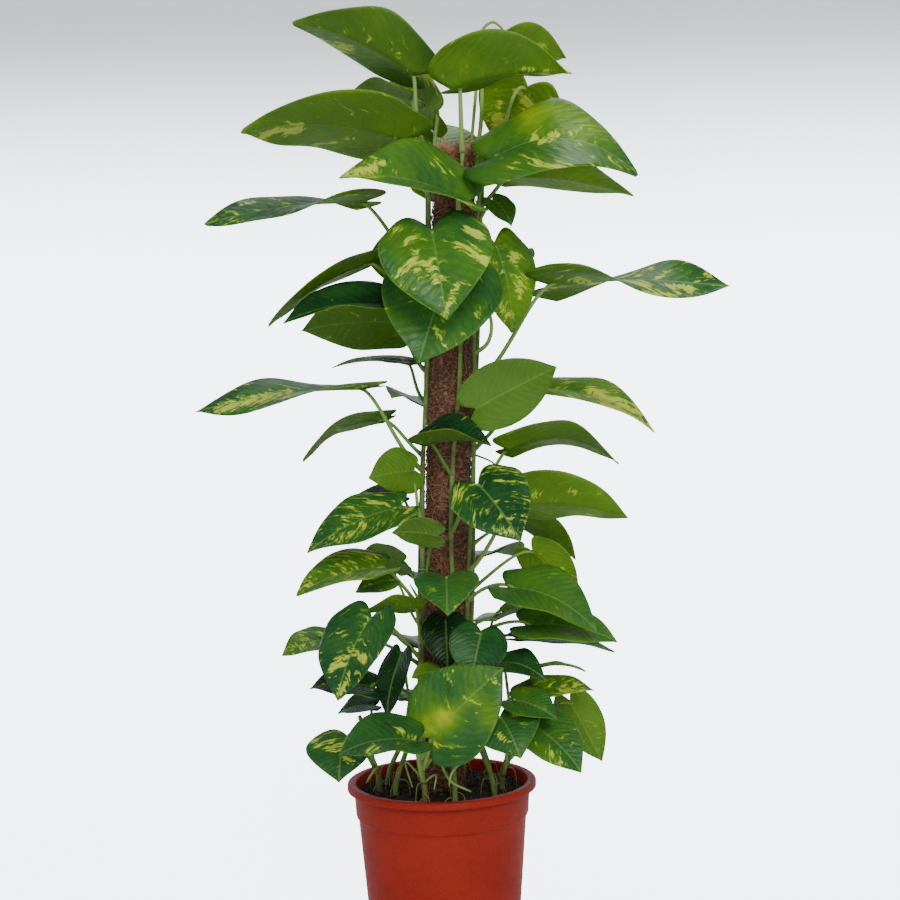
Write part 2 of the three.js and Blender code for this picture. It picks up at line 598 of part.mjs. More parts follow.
function build() {
  const group = new THREE.Group();
  const add = (name, body, colour, roughness) => {
    const mesh = new THREE.Mesh(geometryOf(body), material(colour, roughness));
    mesh.name = name;
    group.add(mesh);
  };
  const pins = PINS.map(([vine, z]) => pinOver(stemPath(VINES[vine - 1]), z));
  const stemHoles = VINES.map((vine) => {
    const foot = stemPath(vine)[0];
    const hole = STEM_RADIUS + CLEARANCE + 0.8;
    return rod([at(foot.x, foot.y, STEM_FOOT - 2), at(foot.x, foot.y, SOIL_HEIGHT + 30)], [hole, hole], 6);
  });
  const coirHole = poleRod(COIR_RADIUS + 1, COIR_BOTTOM - 3, SOIL_HEIGHT + 40, 18);
  const stakeHole = poleRod(STAKE_RADIUS + CLEARANCE, STAKE_BOTTOM - 2, COIR_BOTTOM + 1, 12);
  const bore = poleRod(STAKE_RADIUS + CLEARANCE, COIR_BOTTOM - 3, COIR_TOP + 3, 12);
  add('pot', pot(), '#b04526', 0.45);
  add('soil', cut(soilFill(), [coirHole, stakeHole, ...stemHoles]), '#2a1d16', 0.95);
  add('stake', stake(), '#b08a5c', 0.7);
  add('coir', cut(coirSleeve(), [bore, ...pins.flatMap((pin) => pin.holes)]), '#6e3a26', 0.95);
  VINES.forEach((vine, i) => add(`vine_${i + 1}`, fuse(vineSolids(vine)), '#3f8022', 0.4));
  pins.forEach((pin, i) => add(`pin_${i + 1}`, pin.wire, '#8d8f92', 0.35));
  return group;
}

export default build();
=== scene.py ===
"""Looks of a potted golden pothos that climbs a coir pole.

The vines, the pole and the soil are rebuilt as finer pieces from the same plan as their solids:
the same stems, stalks and blades, in the same places. Sizes in the plan are in millimetres and
turn into metres where a mesh is made. +Z is up and the front is towards -Y.
"""
import logging
import math
from dataclasses import dataclass, field
from enum import Enum
from typing import Sequence

import bmesh
import bpy
import numpy as np
from mathutils import Matrix, Vector


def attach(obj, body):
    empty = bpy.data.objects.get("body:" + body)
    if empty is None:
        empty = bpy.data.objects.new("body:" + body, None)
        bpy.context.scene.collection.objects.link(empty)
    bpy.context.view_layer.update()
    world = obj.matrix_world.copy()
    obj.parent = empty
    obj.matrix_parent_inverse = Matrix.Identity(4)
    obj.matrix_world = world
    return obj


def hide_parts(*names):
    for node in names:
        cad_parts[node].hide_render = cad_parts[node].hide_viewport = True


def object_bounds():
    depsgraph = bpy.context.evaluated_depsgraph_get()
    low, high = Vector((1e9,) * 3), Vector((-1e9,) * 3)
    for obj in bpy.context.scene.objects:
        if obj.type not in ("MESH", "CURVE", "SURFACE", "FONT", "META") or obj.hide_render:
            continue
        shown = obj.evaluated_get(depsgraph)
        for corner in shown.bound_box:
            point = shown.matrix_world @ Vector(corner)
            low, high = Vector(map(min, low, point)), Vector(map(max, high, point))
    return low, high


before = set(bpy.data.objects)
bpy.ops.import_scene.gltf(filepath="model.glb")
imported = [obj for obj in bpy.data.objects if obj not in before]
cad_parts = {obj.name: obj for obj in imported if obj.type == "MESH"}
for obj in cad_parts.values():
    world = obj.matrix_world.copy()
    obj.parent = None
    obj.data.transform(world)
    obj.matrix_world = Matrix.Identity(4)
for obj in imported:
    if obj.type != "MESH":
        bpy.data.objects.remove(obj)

CAD_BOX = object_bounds()
LOG = logging.getLogger("pothos")

MM = 0.001
# How far the leaves keep inside the solids' overall box, in metres.
EDGE_GAP = 0.00002
# The photograph's viewpoint in mm, its lens for a sensor of that width, and its roll.
EYE = np.array([17.0, -1333.0, 505.0])
EYE_LENS_MM = 52.88
SENSOR_MM = 36.0
EYE_ROLL_DEG = 1.5
UP = np.array([0.0, 0.0, 1.0])

# Sizes shared with the solids, in mm; the tapers, shares and powers have no unit.
SOIL_HEIGHT = 162.0
STEM_FOOT = 122.0
STEM_RADIUS = 2.7
STEM_TAPER = 0.3
STAPLE_DEPTH = 9.0
STAPLE_SLACK = 0.4
PETIOLE_RADIUS = 1.1
CLEARANCE = 0.4
PIN_WIRE_RADIUS = 0.7
BLADE_THICKNESS = 1.0
BLADE_BASE_WIDTH = 0.82
BLADE_WIDEST = 0.28
BLADE_TAPER = 2.1
TIP_PINCH = 0.28
TIP_PINCH_POWER = 9
LOBE = 0.15
COIR_RADIUS = 23.4
COIR_BOTTOM = 50.0
COIR_TOP = 806.0
POLE_FOOT_X = -9.0
POLE_LEAN = 0.049
# Share of the leaf colour ramp that the plain tones take; the rest turns yellow.
TONE_SPAN = 0.8
# Pale streaks and washes placed one by one: for each leaf the two ends x, z, x, z as seen from EYE,
# the reach to each side in mm, the strength of the streak and the change of tone. The broad wash on
# a5 is painted light, the glow of its far half where light shines through; the others are the
# leaves' own marbling.
MARKS = {
    "a1": ((-119, 924, -71, 911, 6.2, 0.23, 0),
           (-32, 918, -26, 902, 5, 0.18, 0),
           (-48, 941, -43, 927, 5, 0.14, 0.1),
           (2, 931, 8, 923, 3.8, 0.16, 0),
           (-93, 938, -78, 931, 5, 0.11, 0)),
    "a6": ((-164, 827, -126, 835, 6.2, 0.3, 0),
           (-108, 816, -70, 823, 5, 0.16, 0),
           (-79, 836, -63, 828, 3.8, 0.14, 0),
           (-50, 807, -21, 815, 5, 0.16, 0)),
    "a2": ((98, 888, 124, 884, 5, 0.24, 0),
           (144, 893, 151, 877, 6.2, 0.27, 0),
           (43, 900, 39, 884, 3.8, 0.12, 0.1),
           (78, 901, 86, 897, 3.8, 0.11, 0)),
    "a3": ((86, 914, 120, 909, 5, 0.23, 0),),
    "a4": ((94, 865, 110, 848, 5, 0.27, 0),
           (73, 839, 84, 814, 8.8, 0.32, 0),
           (77, 853, 72, 841, 3.8, 0.22, 0),
           (125, 859, 133, 835, 6.2, 0.11, 0.1)),
    "a5": ((110, 815, 134, 820, 6.2, 0.2, 0),
           (111, 793, 147, 785, 5, 0.2, 0),
           (136, 821, 189, 813, 3.8, 0.12, 0),
           (168, 796, 208, 783, 5, 0.12, 0),
           (80, 788, 105, 795, 3.8, 0.12, 0),
           # Painted light: a broad lift of tone over the far half, where light shines through it.
           (106, 838, 177, 819, 22.5, 0, 0.28)),
    "a8": ((-87, 784, -54, 788, 8.8, 0.25, 0.2),
           (10, 796, 26, 781, 5, 0.2, 0),
           (26, 753, 42, 750, 3.8, 0.18, 0),
           (-54, 801, -42, 795, 3.8, 0.14, 0),
           (-25, 766, -7, 762, 3.8, 0.12, 0)),
    "a7b": ((-6, 889, 9, 881, 7.5, 0.3, 0),
           (-35, 874, -11, 867, 5, 0.27, 0),
           (-22, 845, -10, 859, 6.2, 0.3, 0)),
    "b1": ((41, 727, 55, 722, 7.5, 0.2, 0),
           (30, 710, 42, 704, 6.2, 0.18, 0),
           (46, 702, 66, 691, 10, 0.21, 0),
           (-25, 684, -8, 699, 11.2, 0.2, 0),
           (-4, 695, 9, 677, 7.5, 0.2, 0),
           (29, 670, 15, 642, 5, 0.2, 0),
           (-40, 730, -10, 727, 5, 0.17, 0),
           (-26, 718, -14, 712, 3.8, 0.14, 0)),
    "b2": ((6, 626, 16, 611, 6.2, 0.18, 0),
           (-19, 657, -12, 645, 5, 0.14, 0),
           (41, 638, 57, 649, 5, 0.12, 0)),
    "b4": ((87, 697, 95, 664, 7.5, 0.2, 0.1),
           (71, 655, 79, 639, 6.2, 0.16, 0),
           (68, 693, 76, 685, 5, 0.14, 0)),
    "b10": ((172, 660, 245, 654, 5, 0.18, 0.1),
           (203, 670, 263, 660, 3.8, 0.16, 0),
           (133, 678, 173, 668, 3.8, 0.14, 0)),
    "c1": ((-214, 553, -143, 568, 5, 0.16, 0),
           (-184, 547, -103, 561, 3.8, 0.14, 0)),
    "c4": ((160, 560, 210, 538, 5, 0.18, 0),
           (173, 547, 219, 520, 5, 0.18, 0)),
    "c6": ((103, 458, 123, 452, 5, 0.14, 0),
           (136, 431, 167, 437, 5, 0.12, 0.1),
           (127, 466, 147, 459, 3.8, 0.12, 0)),
    "d8": ((23, 347, 37, 353, 5, 0.17, 0),
           (-7, 366, 3, 362, 3.8, 0.12, 0)),
    "e1": ((-87, 310, -77, 296, 6.2, 0.2, 0),
           (-108, 288, -91, 298, 6.2, 0.2, 0),
           (-100, 262, -90, 282, 5, 0.23, 0),
           (-101, 326, -93, 320, 3.8, 0.14, 0),
           (-78, 334, -70, 328, 3.8, 0.12, 0)),
    "f1": ((-112, 206, -95, 210, 6.2, 0.23, 0),
           (-131, 218, -125, 210, 5, 0.2, 0),
           (-96, 193, -86, 199, 3.8, 0.16, 0)),
    "f2": ((-41, 222, -26, 217, 5, 0.2, 0),
           (-74, 204, -64, 206, 3.8, 0.18, 0),
           (-60, 194, -29, 201, 2.5, 0.12, 0)),
    "f3": ((-22, 217, 4, 233, 18.8, 0, 0.5),
           (6, 237, 33, 254, 10, 0, 0.26),
           (45, 246, 52, 230, 11.2, 0, 0.28),
           (1, 285, 9, 273, 3.8, 0.14, 0),
           (23, 255, 41, 250, 2.5, 0.16, 0),
           (30, 240, 38, 238, 2.5, 0.16, 0),
           (16, 281, 13, 263, 3.8, 0.12, 0),
           (49, 276, 57, 268, 5, 0.14, 0),
           (-11, 209, 21, 206, 3.8, 0.14, 0.1)),
    "f4": ((58, 217, 66, 209, 3.8, 0.14, 0),
           (73, 237, 85, 239, 3.8, 0.18, 0)),
    "h1": ((117, 391, 145, 370, 6.2, 0.1, 0.1),),
    "h10": ((122, 258, 146, 259, 5, 0.16, 0),),
    "h13": ((100, 205, 120, 184, 6.2, 0.12, 0.1),),
    "h12": ((151, 229, 166, 196, 7.5, 0.08, 0.1),),
}


@dataclass(frozen=True)
class VinePlan:
    """One leafy stem as planned, with its leaf rows and its aerial roots or unopened leaves."""

    azimuth: float
    top: float
    foot: float
    leaves: Sequence[tuple]
    shoots: Sequence[tuple] = ()


# Leaf rows: name, height of its joint on the stem, base x, z, depth, tip x, z, depth, width,
# tilt of its face towards the front, turn of that tilt, fold, arch, twist, tone, cream.
# The places are read in the upright plane through the pole, as seen from EYE. Tone runs from dark
# to lime. It is partly the leaf's own green and partly painted shade and light: it is set low for
# leaves deep in the plant or behind it, and higher for some that the lamps reach less. Cream is
# the share of the blade that is streaked pale.
VINES = (
    VinePlan(-62, 812, 50, (
        ("a1", 805, -10, 884, -22, -131, 940, -60, 96, -15, 0, 14, 10, 0, 0.58, 0.25),
        ("a6", 762, -21, 818, -25, -186, 830, -70, 110, -21, 0, 5, 14, 0, 0.77, 0.3),
        ("a9", 671, -66, 757, -50, -225, 739, -80, 85, 24, 0, 5, 6, 28, 0.38, 0.6),
        ("b6", 606, -35, 650, -25, -148, 637, -40, 75, 27, 0, 18, 10, 0, 0.31, 0.2),
        ("c1", 485, -70, 569, -35, -239, 550, -55, 85, 20, 0, 5, 6, 25, 0.42, 0.55),
        ("d3", 409, -35, 448, -50, -130, 405, -80, 70, 32, 0, 5, 8, 0, 0.52, 0.75),
        ("d5", 349, -54, 387, -45, -142, 362, -80, 65, 23, 0, 14, 8, 0, 0.79, 0.75),
        ("e1", 298, -66, 339, -75, -103, 255, -110, 75, 65, -30, 10, 8, 0, 0.42, 0.25),
        ("d1", 434, -20, 486, -30, -66, 479, -12, 50, -75, 0, 0, 5, 0, 0.76, 0.12),
        ("d4", 362, 3, 419, -86, -44, 423, -82, 34, -60, 0, 0, 5, 0, 0.18, 0.1),
        ("d7", 329, -44, 375, -35, -82, 364, -40, 30, 40, 0, 8, 3, 0, 0.7, 0.4),
        ("d9", 313, -19, 347, -50, -76, 342, -62, 42, -30, 0, 5, 5, 0, 0.74, 0.1),
        ("e5", 241, -37, 300, -44, -53, 236, -56, 38, 80, -40, 8, 5, 0, 0.02, 0.05),
    ), (
        (350, 1.8, (-27, 371, -18)),
    )),
    VinePlan(-108, 806, 56, (
        ("a7a", 792, -14, 859, 16, -77, 861, 46, 60, -15, 0, 5, 6, 0, 0.8, 0.1),
        ("b5", 636, -58, 697, -20, -163, 634, -35, 60, -8, 0, 5, 8, 0, 0.7, 0.1),
        ("b7", 586, -32, 635, 5, -130, 629, 25, 75, -50, 0, 0, 8, 0, 0.58, 0.2),
        ("b8", 555, -21, 592, 10, -100, 591, 30, 50, 10, 0, 8, 6, 0, 0.02, 0.55),
        ("c2", 500, -48, 537, 4, -132, 497, -8, 60, -12, 0, 5, 12, 0, 0.38, 0.3),
        ("d2", 429, -33, 459, 10, -95, 449, 22, 40, 30, 0, 5, 6, 0, 0.22, 0.3),
        ("d6", 369, -34, 393, -10, -79, 397, 10, 45, -50, 0, 0, 5, 0, 0.55, 0.1),
        ("e2", 288, -108, 317, -50, -158, 302, -70, 45, 25, 0, 8, 5, 0, 0.68, 0.75),
        ("e3", 253, -66, 267, -45, -131, 268, -60, 55, 25, 0, 10, 6, 0, 0.14, 0.15),
        ("b3", 656, -16, 696, -12, -63, 697, 4, 60, -60, 0, 0, 6, 0, 0.82, 0.08),
    )),
    VinePlan(14, 812, 58, (
        ("a2", 799, 29, 868, -45, 150, 881, -78, 104, -12, 0, 24, 8, 0, 0.72, 0.2),
        ("a8", 729, 38, 754, -62, -88, 782, -95, 96, 42, 0, 22, 12, 0, 0.72, 0.2),
        ("b1", 666, 4, 728, -85, 17, 636, -125, 106, 75, 0, 8, 10, 0, 0.63, 0.3),
        ("b2", 626, 24, 688, -50, -12, 593, -95, 116, 60, 0, 5, 10, 0, 0.6, 0.2),
        ("c8", 480, -9, 510, -48, 59, 508, -76, 50, 20, 0, 38, 6, 0, 0.05, 0.25),
        ("c7", 424, 44, 470, -70, 86, 411, -115, 76, 65, 0, 8, 8, 0, 0.37, 0.68),
        ("d8", 329, 10, 376, -70, 10, 338, -118, 62, 45, 0, 10, 8, 0, 0.6, 0.22),
        ("g1", 293, 8, 334, -45, 9, 285, -62, 48, 70, 0, 8, 6, 0, 0.02, 0.02),
    )),
    VinePlan(60, 800, 60, (
        ("a5", 767, 64, 794, -42, 214, 777, -56, 122, 46, 0, 4, 34, 0, 0.7, 0.3),
        ("b4", 646, 67, 713, -11, 82, 621, -9, 74, 80, 35, 8, 8, 0, 0.81, 0.25),
        ("c3", 510, 44, 546, -60, 127, 586, -85, 64, -80, 0, 5, 8, 0, 0.5, 0.1),
        ("c6", 384, 83, 446, -35, 195, 432, -60, 86, -36, 0, 16, 8, 0, 0.81, 0.28),
        ("h3", 354, 72, 364, -70, 160, 318, -105, 70, 30, 0, 12, 14, 0, 0.63, 0.1),
        ("h4", 313, 89, 326, -60, 181, 307, -82, 60, 30, 0, 10, 8, 0, 0.7, 0.1),
        ("a11", 732, 66, 756, -14, 85, 729, -22, 34, 30, 0, 5, 4, 0, 0.62, 0.1),
        ("h6", 273, 66, 340, -32, 101, 345, -16, 36, -40, 0, 5, 4, 0, 0.6, 0.08),
    ), (
        (600, 2.5, (57, 611, -22), (62, 626, -24), (60, 642, -22), (50, 656, -16)),
    )),
    VinePlan(104, 808, 52, (
        ("a4", 792, 105, 870, 37, 73, 809, 86, 88, -65, 0, 5, 8, 0, 0.98, 0.35),
        ("a5b", 752, 80, 778, 14, 209, 756, 8, 84, -14, 0, 10, 8, 0, 0.9, 0.12),
        ("b10", 571, 125, 668, 4, 304, 663, -34, 90, 23, 0, 5, 6, -49, 0.5, 0.6),
        ("c4", 505, 107, 561, -20, 224, 517, -50, 70, 20, 0, 10, 16, 0, 0.82, 0.72),
        ("c5", 455, 77, 503, -20, 187, 486, -40, 75, -20, 0, 8, 20, 0, 0.76, 0.25),
        ("h2", 409, 88, 433, 14, 141, 391, 30, 42, -30, 0, 5, 8, 0, 0.64, 0.1),
        ("h1", 364, 97, 402, -8, 141, 348, 12, 50, -50, 0, 5, 6, 0, 0.76, 0.1),
        ("h5", 303, 83, 312, -30, 178, 297, -45, 45, 10, 0, 10, 6, 0, 0.43, 0.05),
    ), (
        (500, 1.2, (61, 490, 4), (68, 472, -2)),
    )),
    VinePlan(-152, 806, 46, (
        ("a10", 757, 21, 791, 42, 14, 836, 108, 82, -30, 0, 5, 8, 0, 0.8, 0.08),
        ("k1", 717, 14, 757, 50, -21, 794, 140, 80, 10, 180, 8, 8, 0, 0.81, 0.3),
        ("k3", 606, 16, 666, 50, -14, 687, 150, 80, 20, 180, 8, 8, 0, 0.62, 0.3),
        ("k7", 394, -5, 435, 50, -27, 441, 130, 70, 20, 180, 8, 8, 0, 0.17, 0.3),
        ("k8", 273, -8, 304, 50, -38, 315, 130, 70, 20, 180, 8, 8, 0, 0.04, 0.3),
        ("a7b", 797, 12, 846, 22, -40, 872, 60, 80, -40, 0, 5, 8, 0, 0.86, 0.4),
        ("k12", 505, -2, 546, 50, -40, 559, 128, 72, 20, 180, 8, 8, 0, 0.4, 0.3),
        ("k15", 334, -1, 369, 48, -37, 380, 118, 66, 20, 180, 8, 8, 0, 0.49, 0.3),
    )),
    VinePlan(150, 806, 46, (
        ("a3", 805, 63, 885, 46, 145, 897, 84, 94, -25, 0, 12, 10, 0, 0.9, 0.2),
        ("k2", 732, 65, 778, 45, 136, 817, 129, 80, 15, 180, 8, 8, 0, 0.65, 0.3),
        ("k4", 656, 67, 693, 45, 92, 680, 130, 70, 15, 180, 8, 8, 0, 0.16, 0.3),
        ("k5", 525, 54, 554, 45, 81, 562, 140, 80, 20, 180, 8, 8, 0, 0.31, 0.3),
        ("k6", 414, 51, 449, 50, 71, 453, 140, 76, 20, 180, 8, 8, 0, 0.59, 0.3),
        ("k9", 313, 58, 332, 45, 124, 336, 120, 76, 20, 180, 8, 8, 0, 0.82, 0.3),
        ("k14", 364, 42, 393, 48, 85, 396, 120, 70, 20, 180, 8, 8, 0, 0.3, 0.3),
    ), (
        (798, 1.8, (56, 896, 18), (59, 924, 12), (70, 935, 10), (79, 930, 10), (86, 920, 12)),
    )),
    VinePlan(-14, 232, 62, (
        ("f2", 187, -24, 212, -112, -104, 200, -130, 74, 20, 0, 13, 8, 0, 0.51, 0.2),
        ("f3", 200, -8, 216, -90, 65, 284, -98, 88, 62, 0, 8, 8, 0, 0.58, 0.25),
        ("f4", 211, 60, 235, -80, 80, 192, -110, 66, 50, 0, 8, 8, 0, 0.56, 0.2),
        ("g2", 233, 44, 321, -68, 32, 271, -86, 56, 65, 0, 8, 6, 0, 0.33, 0.02),
        ("e6", 223, -1, 281, -55, -28, 276, -70, 26, 40, 0, 8, 3, 0, 0.83, 0.1),
    ), (
        (198, 1.7, (-5, 196, -66), (8, 172, -70), (29, 160, -74)),
        (226, 1.7, (36, 208, -80), (12, 182, -86), (7, 166, -82)),
        (190, 1.2, (-36, 192, -64), (-30, 166, -72)),
        (186, 1.2, (-6, 178, -72), (-8, 163, -78)),
    )),
    VinePlan(-88, 240, 62, (
        ("f1", 187, -93, 219, -75, -103, 173, -112, 72, 50, -20, 8, 8, 0, 0.46, 0.25),
        ("e3b", 208, -65, 249, -35, -103, 242, -40, 40, 15, 0, 8, 4, 0, 0.08, 0.1),
        ("k10", 203, -40, 254, 30, -80, 265, 90, 60, 20, 180, 8, 6, 0, 0.39, 0.1),
    ), (
        (182, 1.8, (-66, 186, -22), (-76, 172, -26)),
    )),
    VinePlan(84, 236, 62, (
        ("h8", 223, 60, 288, -55, 107, 270, -76, 44, 25, 0, 10, 8, 0, 0.32, 0.08),
        ("h9", 228, 98, 283, -30, 148, 278, -42, 36, -10, 0, 8, 5, 0, 0.78, 0.1),
        ("h10", 208, 81, 256, -45, 156, 259, -66, 46, 20, 0, 10, 5, 0, 0.82, 0.6),
        ("h11", 177, 73, 251, -74, 118, 230, -96, 44, 30, 0, 10, 5, 0, 0.67, 0.2),
        ("h12", 192, 131, 250, -35, 162, 187, -42, 44, -70, 0, 5, 5, 0, 0.66, 0.2),
        ("h13", 187, 90, 227, -62, 141, 176, -96, 60, 35, 0, 8, 8, 0, 0.64, 0.3),
    )),
)

# The vine that each wire staple holds, and its height.
STAPLES = ((3, 458), (3, 381), (1, 387), (4, 450), (2, 725), (4, 705))


class Face(Enum):
    """Which face of a blade a mesh point lies on."""

    TOP = 0.0
    UNDER = 1.0


@dataclass(frozen=True)
class Leaf:
    """One leaf as planned: where it hangs, how it is turned and how it is coloured."""

    name: str
    joint: float
    base_x: float
    base_z: float
    base_depth: float
    tip_x: float
    tip_z: float
    tip_depth: float
    width: float
    tilt: float
    turn: float
    fold: float
    arch: float
    twist: float
    # Partly the leaf's own green, partly painted shade and light.
    tone: float
    cream: float
    phase: float = 0.0
    seed: float = 0.0

    @property
    def base(self) -> np.ndarray:
        """Where the stalk meets the blade, in mm."""
        return sighted(self.base_x, self.base_z, self.base_depth)

    @property
    def tip(self) -> np.ndarray:
        """The blade's tip, in mm."""
        return sighted(self.tip_x, self.tip_z, self.tip_depth)


def unit(v: np.ndarray) -> np.ndarray:
    """Vectors of length one along the last axis."""
    return v / np.maximum(np.linalg.norm(v, axis=-1, keepdims=True), 1e-12)


def bump(values: np.ndarray, height: float, place: float, length: float) -> np.ndarray:
    """A smooth bump of a height and length where the values pass a place."""
    return height * np.exp(-((values - place) / length) ** 2)


def sighted(x: float, z: float, depth: float) -> np.ndarray:
    """Move a place read in the plane of the pole along its line of sight.

    Args:
        x: Place to the right of the pot's middle, in mm.
        z: Height, in mm.
        depth: Depth it is moved to; the front is negative.

    Returns:
        The place in mm.
    """
    reach = (depth - EYE[1]) / -EYE[1]
    return (np.array([x, 0.0, z]) - EYE) * reach + EYE


def seen(points: np.ndarray) -> np.ndarray:
    """Where points are seen from EYE in the upright plane through the pole: x and z in mm."""
    reach = -EYE[1] / (points[..., 1] - EYE[1])
    return (EYE + (points - EYE) * reach[..., None])[..., [0, 2]]


def marked(name: str, points: np.ndarray) -> tuple[np.ndarray, np.ndarray]:
    """How strongly a leaf's streaks and washes touch each of its points: its own marbling, and on a5
    painted light.

    Args:
        name: The leaf's name.
        points: Points of its blade, in mm.

    Returns:
        The strength of streaks and the change of tone at each point.
    """
    place = seen(points)
    streak, change = np.zeros(place.shape[:-1]), np.zeros(place.shape[:-1])
    for x0, z0, x1, z1, reach, strength, tone in MARKS.get(name, ()):
        start, run = np.array([x0, z0], dtype=float), np.array([x1 - x0, z1 - z0], dtype=float)
        share = np.clip((place - start) @ run / run.dot(run), 0, 1)
        away = np.linalg.norm(place - start - share[..., None] * run, axis=-1)
        touch = bump(away, 1.0, 0.0, reach)
        streak, change = np.maximum(streak, strength * touch), change + tone * touch
    return streak, change


def pole_axis(z: float) -> np.ndarray:
    """The point of the pole's axis at a height, in mm."""
    return np.array([POLE_FOOT_X + POLE_LEAN * z, 0.0, z])


def outward(azimuth_deg: float) -> np.ndarray:
    """Level direction away from the pole; 0 is the front and 90 the right."""
    turn = math.radians(azimuth_deg)
    return np.array([math.sin(turn), -math.cos(turn), 0.0])


def smooth_path(points: np.ndarray, steps: int) -> np.ndarray:
    """A curve through points, as a Catmull-Rom spline.

    Args:
        points: The points it passes, one a row.
        steps: Steps between two neighbours.

    Returns:
        Points along the curve, one a row.
    """
    padded = np.vstack([2 * points[0] - points[1], points, 2 * points[-1] - points[-2]])
    rows = []
    for a, b, c, d in zip(padded, padded[1:], padded[2:], padded[3:]):
        for t in np.linspace(0, 1, steps, endpoint=False):
            rows.append(0.5 * (2 * b + (c - a) * t + (2 * a - 5 * b + 4 * c - d) * t ** 2
                               + (3 * b - a - 3 * c + d) * t ** 3))
    return np.array(rows + [points[-1]])


def blade_width(t: np.ndarray) -> np.ndarray:
    """Half width of a blade along its midrib, as a share of its full half width."""
    start = 1 - (1 - BLADE_BASE_WIDTH) * np.power(np.maximum(0.0, 1 - t / BLADE_WIDEST), 2)
    far = np.maximum(0.0, (t - BLADE_WIDEST) / (1 - BLADE_WIDEST))
    pointed = 1 - TIP_PINCH * np.power(far, TIP_PINCH_POWER)
    return np.where(t < BLADE_WIDEST, start, (1 - np.power(far, BLADE_TAPER)) * pointed)


@dataclass
class BladeSurface:
    """The midsurface of one blade, over its length t and its width u from -1 to 1.

    A ruffle is its height as a share of the blade's width, the power of u that it grows with, and
    how fast it turns along t, across u and with the leaf's phase.
    """

    leaf: Leaf
    ruffles: tuple = ((0.022, 2, 9.0, 2.2, 1.0), (0.009, 4, 13.0, -3.0, 2.3))
    step: float = 0.02

    def __post_init__(self) -> None:
        """Set up the blade's own axes from its base, tip and tilt."""
        run = self.leaf.tip - self.leaf.base
        self.length = float(np.linalg.norm(run))
        self.along = run / self.length
        tilt = math.radians(self.leaf.tilt)
        level = outward(self.leaf.turn) * math.sin(tilt)
        facing = level + UP * math.cos(tilt)
        self.normal = unit(facing - self.along * facing.dot(self.along))
        self.side = np.cross(self.along, self.normal)

    def point(self, t: np.ndarray, u: np.ndarray) -> np.ndarray:
        """Points of the midsurface, in mm.

        Args:
            t: Share of the length, 0 at the stalk and 1 at the tip.
            u: Share of the half width, negative on one side.

        Returns:
            An array of points with the shape of t and a last axis of three.
        """
        leaf = self.leaf
        lobe = LOBE * np.power(1 - t, 3) * np.sin(np.pi * np.abs(u))
        forward = self.length * (t - lobe)
        reach = 0.5 * leaf.width * blade_width(t) * u
        lift = leaf.arch * 4 * t * (1 - t) + np.abs(reach) * math.tan(math.radians(leaf.fold))
        for share, power, along, across, drift in self.ruffles:
            wave = np.sin(along * t + across * u + drift * leaf.phase)
            lift = lift + share * leaf.width * np.power(u, power) * wave
        roll = math.radians(leaf.twist) * (2 * t - 1)
        x = reach * np.cos(roll) - lift * np.sin(roll)
        y = reach * np.sin(roll) + lift * np.cos(roll)
        return (leaf.base + forward[..., None] * self.along + x[..., None] * self.side
                + y[..., None] * self.normal)

    def facing(self, t: np.ndarray, u: np.ndarray) -> np.ndarray:
        """Unit normals of the midsurface, out of its top face."""
        near = np.clip(t - self.step, 0.0, 1 - 2.5 * self.step)
        lengthwise = self.point(near + 2 * self.step, u) - self.point(near, u)
        inside = np.minimum(t, 1 - 2 * self.step)
        crosswise = self.point(inside, u + self.step) - self.point(inside, u - self.step)
        return unit(np.cross(crosswise, lengthwise))


def linked(name: str, data: bpy.types.ID) -> bpy.types.Object:
    """A new object of a mesh, lamp or camera, linked to the scene."""
    thing = bpy.data.objects.new(name, data)
    bpy.context.scene.collection.objects.link(thing)
    return thing


class Skin(Enum):
    """What a face of a vine belongs to; the value is its material's place on the mesh."""

    BLADE = 0
    STALK = 1


@dataclass
class MeshStock:
    """Points, faces and per-point values that grow into one mesh."""

    points: list = field(default_factory=list)
    faces: list = field(default_factory=list)
    slots: list = field(default_factory=list)
    place: list = field(default_factory=list)
    look: list = field(default_factory=list)
    ribs: list = field(default_factory=list)
    count: int = 0

    def add(self, points: np.ndarray, faces: Sequence, skin: Skin, place: np.ndarray,
            look: np.ndarray, ribs: np.ndarray | None = None) -> None:
        """Add one closed shell.

        Args:
            points: Its points in mm, one a row.
            faces: Its faces as point numbers within this shell.
            skin: What its faces belong to.
            place: The pattern place of each point, three values a row.
            look: The colour values of each point, three values a row.
            ribs: The vein values of each point, where it has them.
        """
        self.points.append(points * MM)
        self.faces.extend(tuple(int(i) + self.count for i in face) for face in faces)
        self.slots.extend([skin.value] * len(faces))
        self.place.append(place)
        self.look.append(look)
        self.ribs.append(np.zeros_like(place) if ribs is None else ribs)
        self.count += len(points)

    def build(self, name: str, materials: Sequence[bpy.types.Material]) -> bpy.types.Object:
        """Make the object, with its pattern values as attributes and smooth faces.

        Args:
            name: The piece's name.
            materials: Its materials, in slot order.

        Returns:
            The new object, linked to the scene.
        """
        mesh = bpy.data.meshes.new(name)
        low, high = np.array(CAD_BOX)
        kept = np.clip(np.vstack(self.points), low + EDGE_GAP, high - EDGE_GAP)
        mesh.from_pydata(kept.tolist(), [], self.faces)
        for material in materials:
            mesh.materials.append(material)
        mesh.polygons.foreach_set("material_index", np.array(self.slots, dtype=np.int32))
        mesh.polygons.foreach_set("use_smooth", np.ones(len(self.faces), dtype=bool))
        for label, rows in (("place", self.place), ("look", self.look), ("ribs", self.ribs)):
            values = mesh.attributes.new(label, "FLOAT_VECTOR", "POINT")
            values.data.foreach_set("vector", np.vstack(rows).astype(np.float32).ravel())
        mesh.update()
        return linked(name, mesh)


